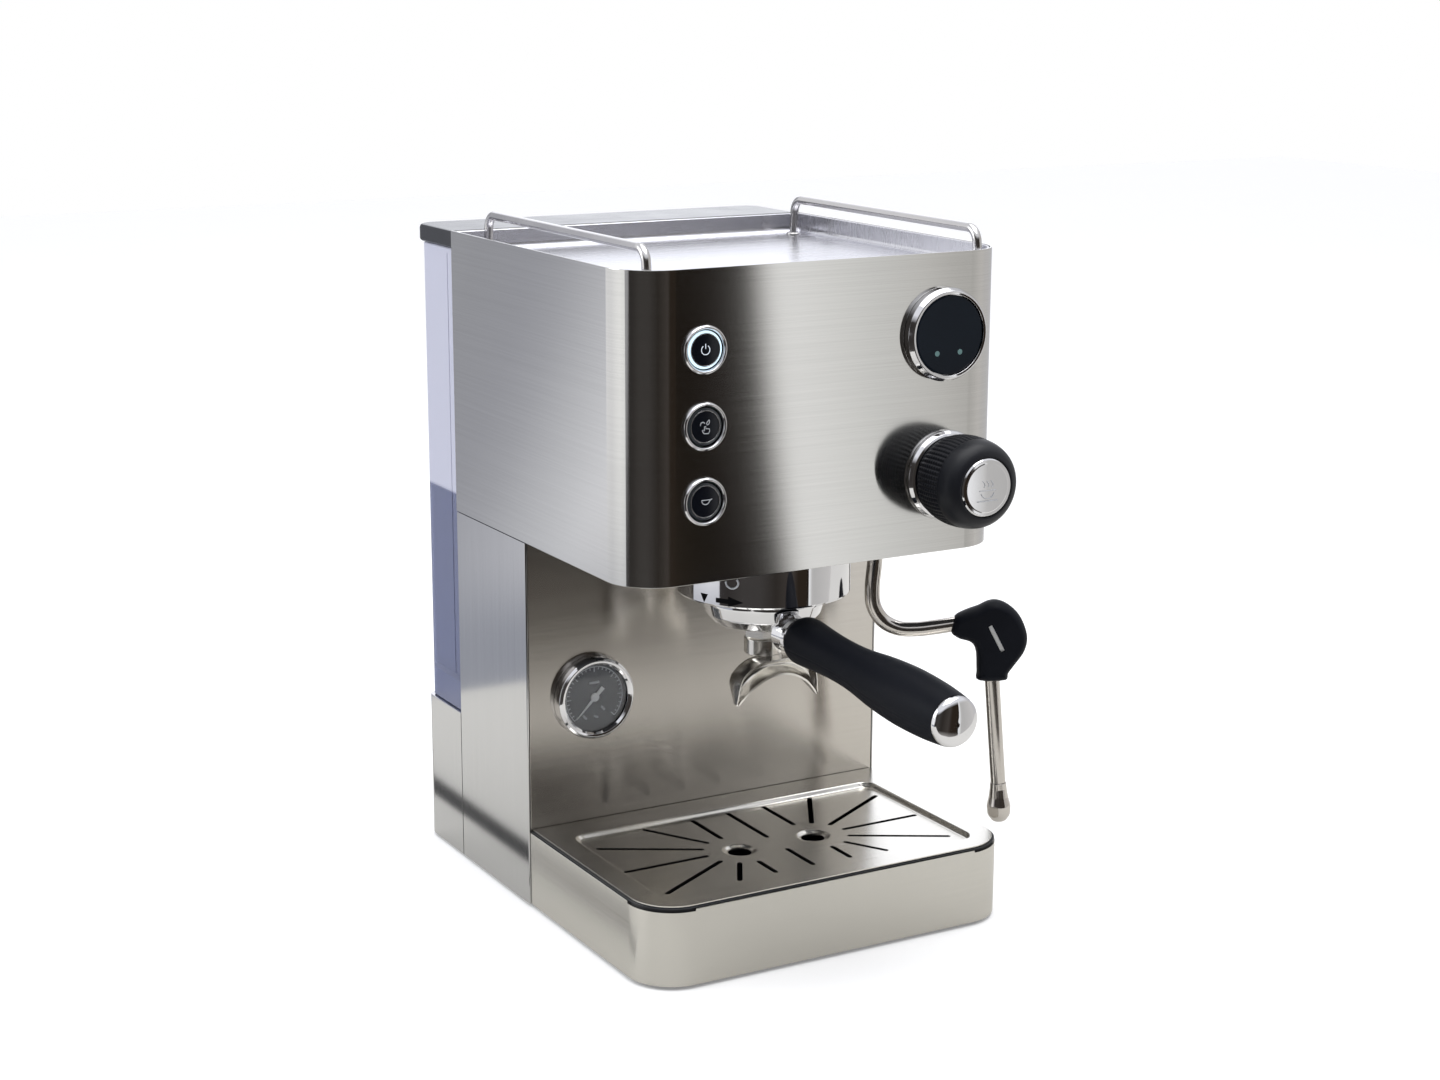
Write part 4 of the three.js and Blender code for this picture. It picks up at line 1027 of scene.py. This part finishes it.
# ---- Water tank ----
tank = lofted_box((113.6, 237.5, 286.5, 2, 10), [
    (2.2, 107.5), (2.2, 91), (1.7, 90.3), (0.6, 90.3), (0, 90.9), (0, 362.4), (0.5, 363), (1.7, 363),
    (2.2, 362.4), (2.2, 112.5), (2.9, 110.8), (4.6, 110),
])
tank = build("tank_shell", tank, TANK_PLASTIC, "water_tank", ["water_tank"])
grooves = [block(x0, x1, 245.2, 246.1, 112, 360) for x0, x1 in ((-115, -112.9), (112.9, 115))]
cutaway(tank, rod(*TANK_VALVE, 0, 9, 80, 120, "z"), *grooves)
lid = lofted_box((114.6, 236.9, 291, 1, 11), [
    (9, 360.5), (8, 361.2), (8, 363.3), (1.4, 363.3), (0.5, 363.9), (0, 364.8), (0, 371), (0.3, 372.1),
    (1.1, 372.9), (2.4, 373.2),
])
build("tank_cover", lid, LID_BLACK, "tank_lid", ["tank_lid"])

# ---- CAD pieces that stay, with their finishes ----
FINISHES = {
    BLACK_PLASTIC: ["rear_panel", "power_inlet", "tank_outlet_valve"],
    BRASS: ["valve_spindle", "steam_valve_body", "boiler_to_valve_pipe", "steam_pipe"],
    CAST_ALUMINIUM: ["group_head", "boiler"],
    RUBBER: ["group_gasket"],
    STEEL_GRATE: ["shower_screen"],
    PUMP_BODY: ["pump"],
    SILICONE: ["tank_hose", "pump_to_boiler_pipe", "wand_seat"],
    BOARD_GREEN: ["control_board"],
}
for material, names in FINISHES.items():
    for name in names:
        for material_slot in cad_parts[name].material_slots:
            material_slot.material = material


# ---- Floor, light and camera ----
def stage_plane(name, x0, x1, y0, y1, z, material):
    """A flat piece of the stage in the frame's metres."""
    mesh = bpy.data.meshes.new(name)
    mesh.from_pydata([(x0, y0, z), (x1, y0, z), (x1, y1, z), (x0, y1, z)], [], [(0, 1, 2, 3)])
    piece = add_object(name, mesh)
    mesh.materials.append(material)
    return piece


def matte(name, colour, glow=0.0):
    s = Shader(name, Roughness=0.85, Specular_IOR_Level=0.1, Emission_Color=(1, 1, 1, 1),
               Emission_Strength=glow)
    s.link(s.ramp(s.noise((3, 3, 3)), [(0.0, [c * 0.98 for c in colour]), (1.0, colour)]), "Base Color")
    return s.material


FLOOR_PAINT = matte("floor_paint", (0.88, 0.88, 0.88), 0.22)
TABLE_TONE = matte("table_tone", (0.71, 0.695, 0.65))
# Near-black tone of the painted shadow strip below.
SHADOW_STRIP_TONE = matte("painted_shadow_tone", (0.03, 0.03, 0.032))
floor = stage_plane("floor", -4, 4, -4, 4, 0, FLOOR_PAINT)
floor.visible_glossy = False
table = stage_plane("table_in_reflections", -0.42, 0.9, -0.35, 0.46, 0.0003, TABLE_TONE)
# Painted shadow: a dark strip on the table beside the machine's left side, seen only in reflections as the
# dark band low on the steel.
edge = stage_plane("painted_shadow_strip_in_reflections", -0.178, -0.164, -0.05, 0.45, 0.0008, SHADOW_STRIP_TONE)
for card in (table, edge):
    card.visible_camera = False
    card.visible_diffuse = False
    card.visible_shadow = False
    card.visible_transmission = False

WALL_LEVEL = 0.98
RING = [
    (-180, (0.5, 0.5, 0.52)), (-176, (0.05, 0.045, 0.045)), (-165, (0.04, 0.036, 0.034)),
    (-147, (0.06, 0.055, 0.052)), (-125, (0.06, 0.055, 0.052)), (-104, (0.035, 0.03, 0.026)),
    (-82, (0.065, 0.056, 0.05)), (-75, (0.03, 0.022, 0.016)), (-50, (0.6, 0.59, 0.57)),
    (-20, (0.72, 0.7, 0.68)), (40, (0.6, 0.6, 0.63)), (52, (1.5, 1.52, 1.6)), (66, (1.5, 1.53, 1.62)),
    (80, (0.5, 0.51, 0.54)), (112, (0.42, 0.43, 0.47)), (119, (1.0, 1.0, 1.02)), (140, (1.0, 1.0, 1.02)),
    (165, (1.2, 1.2, 1.2)), (177, (1.15, 1.15, 1.15)),
]
LEFT_EDGE = [
    (112, (0.42, 0.43, 0.47)), (113.7, (0.44, 0.45, 0.5)), (114.6, (0.51, 0.52, 0.57)),
    (115.5, (0.66, 0.67, 0.72)), (116.4, (0.82, 0.83, 0.88)), (117.1, (0.97, 0.98, 1.03)),
    (117.8, (1.0, 1.0, 1.04)), (119, (1.0, 1.0, 1.02)),
]
FRONT_EDGE = [
    (-75, (0.03, 0.022, 0.016)), (-62, (0.03, 0.022, 0.016)), (-61, (0.012, 0.009, 0.006)),
    (-60.2, (0.016, 0.012, 0.01)), (-59.6, (0.03, 0.026, 0.023)), (-59.25, (0.07, 0.065, 0.06)),
    (-58.98, (0.62, 0.61, 0.6)), (-58.65, (1.2, 1.2, 1.2)), (-58.3, (1.12, 1.12, 1.12)),
    (-57.2, (0.98, 0.98, 0.97)), (-56.2, (0.86, 0.86, 0.85)), (-55.0, (0.76, 0.75, 0.73)),
    (-54.2, (0.62, 0.61, 0.59)), (-50, (0.6, 0.59, 0.57)),
]

# Heights of the view direction between which a tone takes over from the walls.
LOW_LEFT_Z, LOW_LEFT_TONE = (-0.235, -0.262), (0.44, 0.46, 0.52, 1)
CEILING_Z, CEILING_TONE = (0.38, 0.6), (0.95, 0.96, 1.0, 1)
GROUND_Z, GROUND_TONE = (-0.55, -0.8), (0.55, 0.53, 0.5, 1)
BACKDROP = (1, 1, 1, 1)


def studio_world():
    """Soft studio light: a ring of bright and dark walls round the horizon under a bright ceiling."""
    world = bpy.data.worlds.new("studio")
    bpy.context.scene.world = world
    world.use_nodes = True
    tree = world.node_tree
    tree.nodes.clear()

    def node(kind, inputs=(), **settings):
        return add_node(tree, kind, inputs, settings)

    def share(value, start, end):
        return node("ShaderNodeMapRange",
                    {"Value": value, "From Min": start, "From Max": end}).outputs["Result"]

    def walls(turn, start, end, stops):
        ramp = node("ShaderNodeValToRGB", {"Fac": share(turn, start, end)})
        return fill_ramp(ramp, [((azimuth - start) / (end - start), colour) for azimuth, colour in stops])

    def degrees(operation, value, scale, shift):
        angle = node("ShaderNodeMath", {0: value}, operation=operation).outputs[0]
        terms = {0: angle, 1: scale * 180 / pi, 2: shift}
        return node("ShaderNodeMath", terms, operation="MULTIPLY_ADD").outputs[0]

    def chosen(flag, a, b):
        return node("ShaderNodeMix", {"Factor": flag, 2: a, 3: b}, data_type="FLOAT").outputs[0]

    def mixed(factor, a, b):
        return node("ShaderNodeMix", {"Factor": factor, 6: a, 7: b}, data_type="RGBA").outputs[2]

    direction = node("ShaderNodeSeparateXYZ", {0: node("ShaderNodeTexCoord").outputs["Generated"]})
    x, y, z = (direction.outputs[k] for k in "XYZ")
    front, left = (node("ShaderNodeMath", {0: v, 1: 0.0}, operation="LESS_THAN").outputs[0] for v in (y, x))
    across = share(x, -WALL_LEVEL, WALL_LEVEL)
    ahead = node("ShaderNodeMath", {0: across, 1: 2, 2: -1}, operation="MULTIPLY_ADD").outputs[0]
    aside = share(y, 0, WALL_LEVEL)
    behind = chosen(left, degrees("ARCSINE", aside, 1, 0), degrees("ARCSINE", aside, -1, 180))
    turn = chosen(front, behind, degrees("ARCCOSINE", ahead, -1, 0))
    ring = walls(turn, -180, 180, RING)
    for stops in (LEFT_EDGE, FRONT_EDGE):
        start, end = stops[0][0], stops[-1][0]
        middle, reach = (start + end) / 2, (end - start) / 2
        inside = node("ShaderNodeMath", {0: turn, 1: middle, 2: reach}, operation="COMPARE").outputs[0]
        ring = mixed(inside, ring, walls(turn, start, end, stops))
    low_left = node("ShaderNodeMath", {0: share(z, *LOW_LEFT_Z), 1: left}, operation="MULTIPLY").outputs[0]
    ring = mixed(chosen(front, low_left, 0.0), ring, LOW_LEFT_TONE)
    ceiling = mixed(share(z, *CEILING_Z), ring, CEILING_TONE)
    ground = mixed(share(z, *GROUND_Z), ceiling, GROUND_TONE)
    seen = node("ShaderNodeLightPath").outputs["Is Camera Ray"]
    shine = node("ShaderNodeBackground", {"Color": mixed(seen, ground, BACKDROP), "Strength": 1.0})
    tree.links.new(shine.outputs[0], node("ShaderNodeOutputWorld").inputs["Surface"])


LIGHT_TARGET = Vector((0, 0, 0.2))


def softbox(name, location, size, power, colour):
    """A rectangular light that looks at the middle of the machine."""
    light = bpy.data.lights.new(name, "AREA")
    light.shape = "RECTANGLE"
    light.size, light.size_y = size
    light.energy = power
    light.color = colour
    lamp = add_object(name, light)
    lamp.location = location
    lamp.rotation_euler = (LIGHT_TARGET - Vector(location)).to_track_quat("-Z", "Y").to_euler()
    lamp.visible_camera = False


studio_world()
softbox("overhead", (0.1, -0.1, 1.5), (1.4, 1.2), 14, (1, 1, 1))
softbox("left_window", (-1.5, 0.9, 0.9), (0.9, 0.9), 8, (0.94, 0.97, 1))

CAMERA_PLACE = (-0.6930, -1.1418, 0.5241)
CAMERA_TURN = (76.7254, -0.2131, -29.6446)
lens = bpy.data.cameras.new("camera")
lens.lens = 61.8
lens.sensor_width = 36
lens.clip_start = 0.05
camera = add_object("camera", lens)
camera.location = CAMERA_PLACE
camera.rotation_euler = Euler([radians(a) for a in CAMERA_TURN])
bpy.context.scene.camera = camera
bpy.context.scene.view_settings.view_transform = "Standard"
bpy.context.scene.view_settings.look = "None"

bpy.context.view_layer.update()
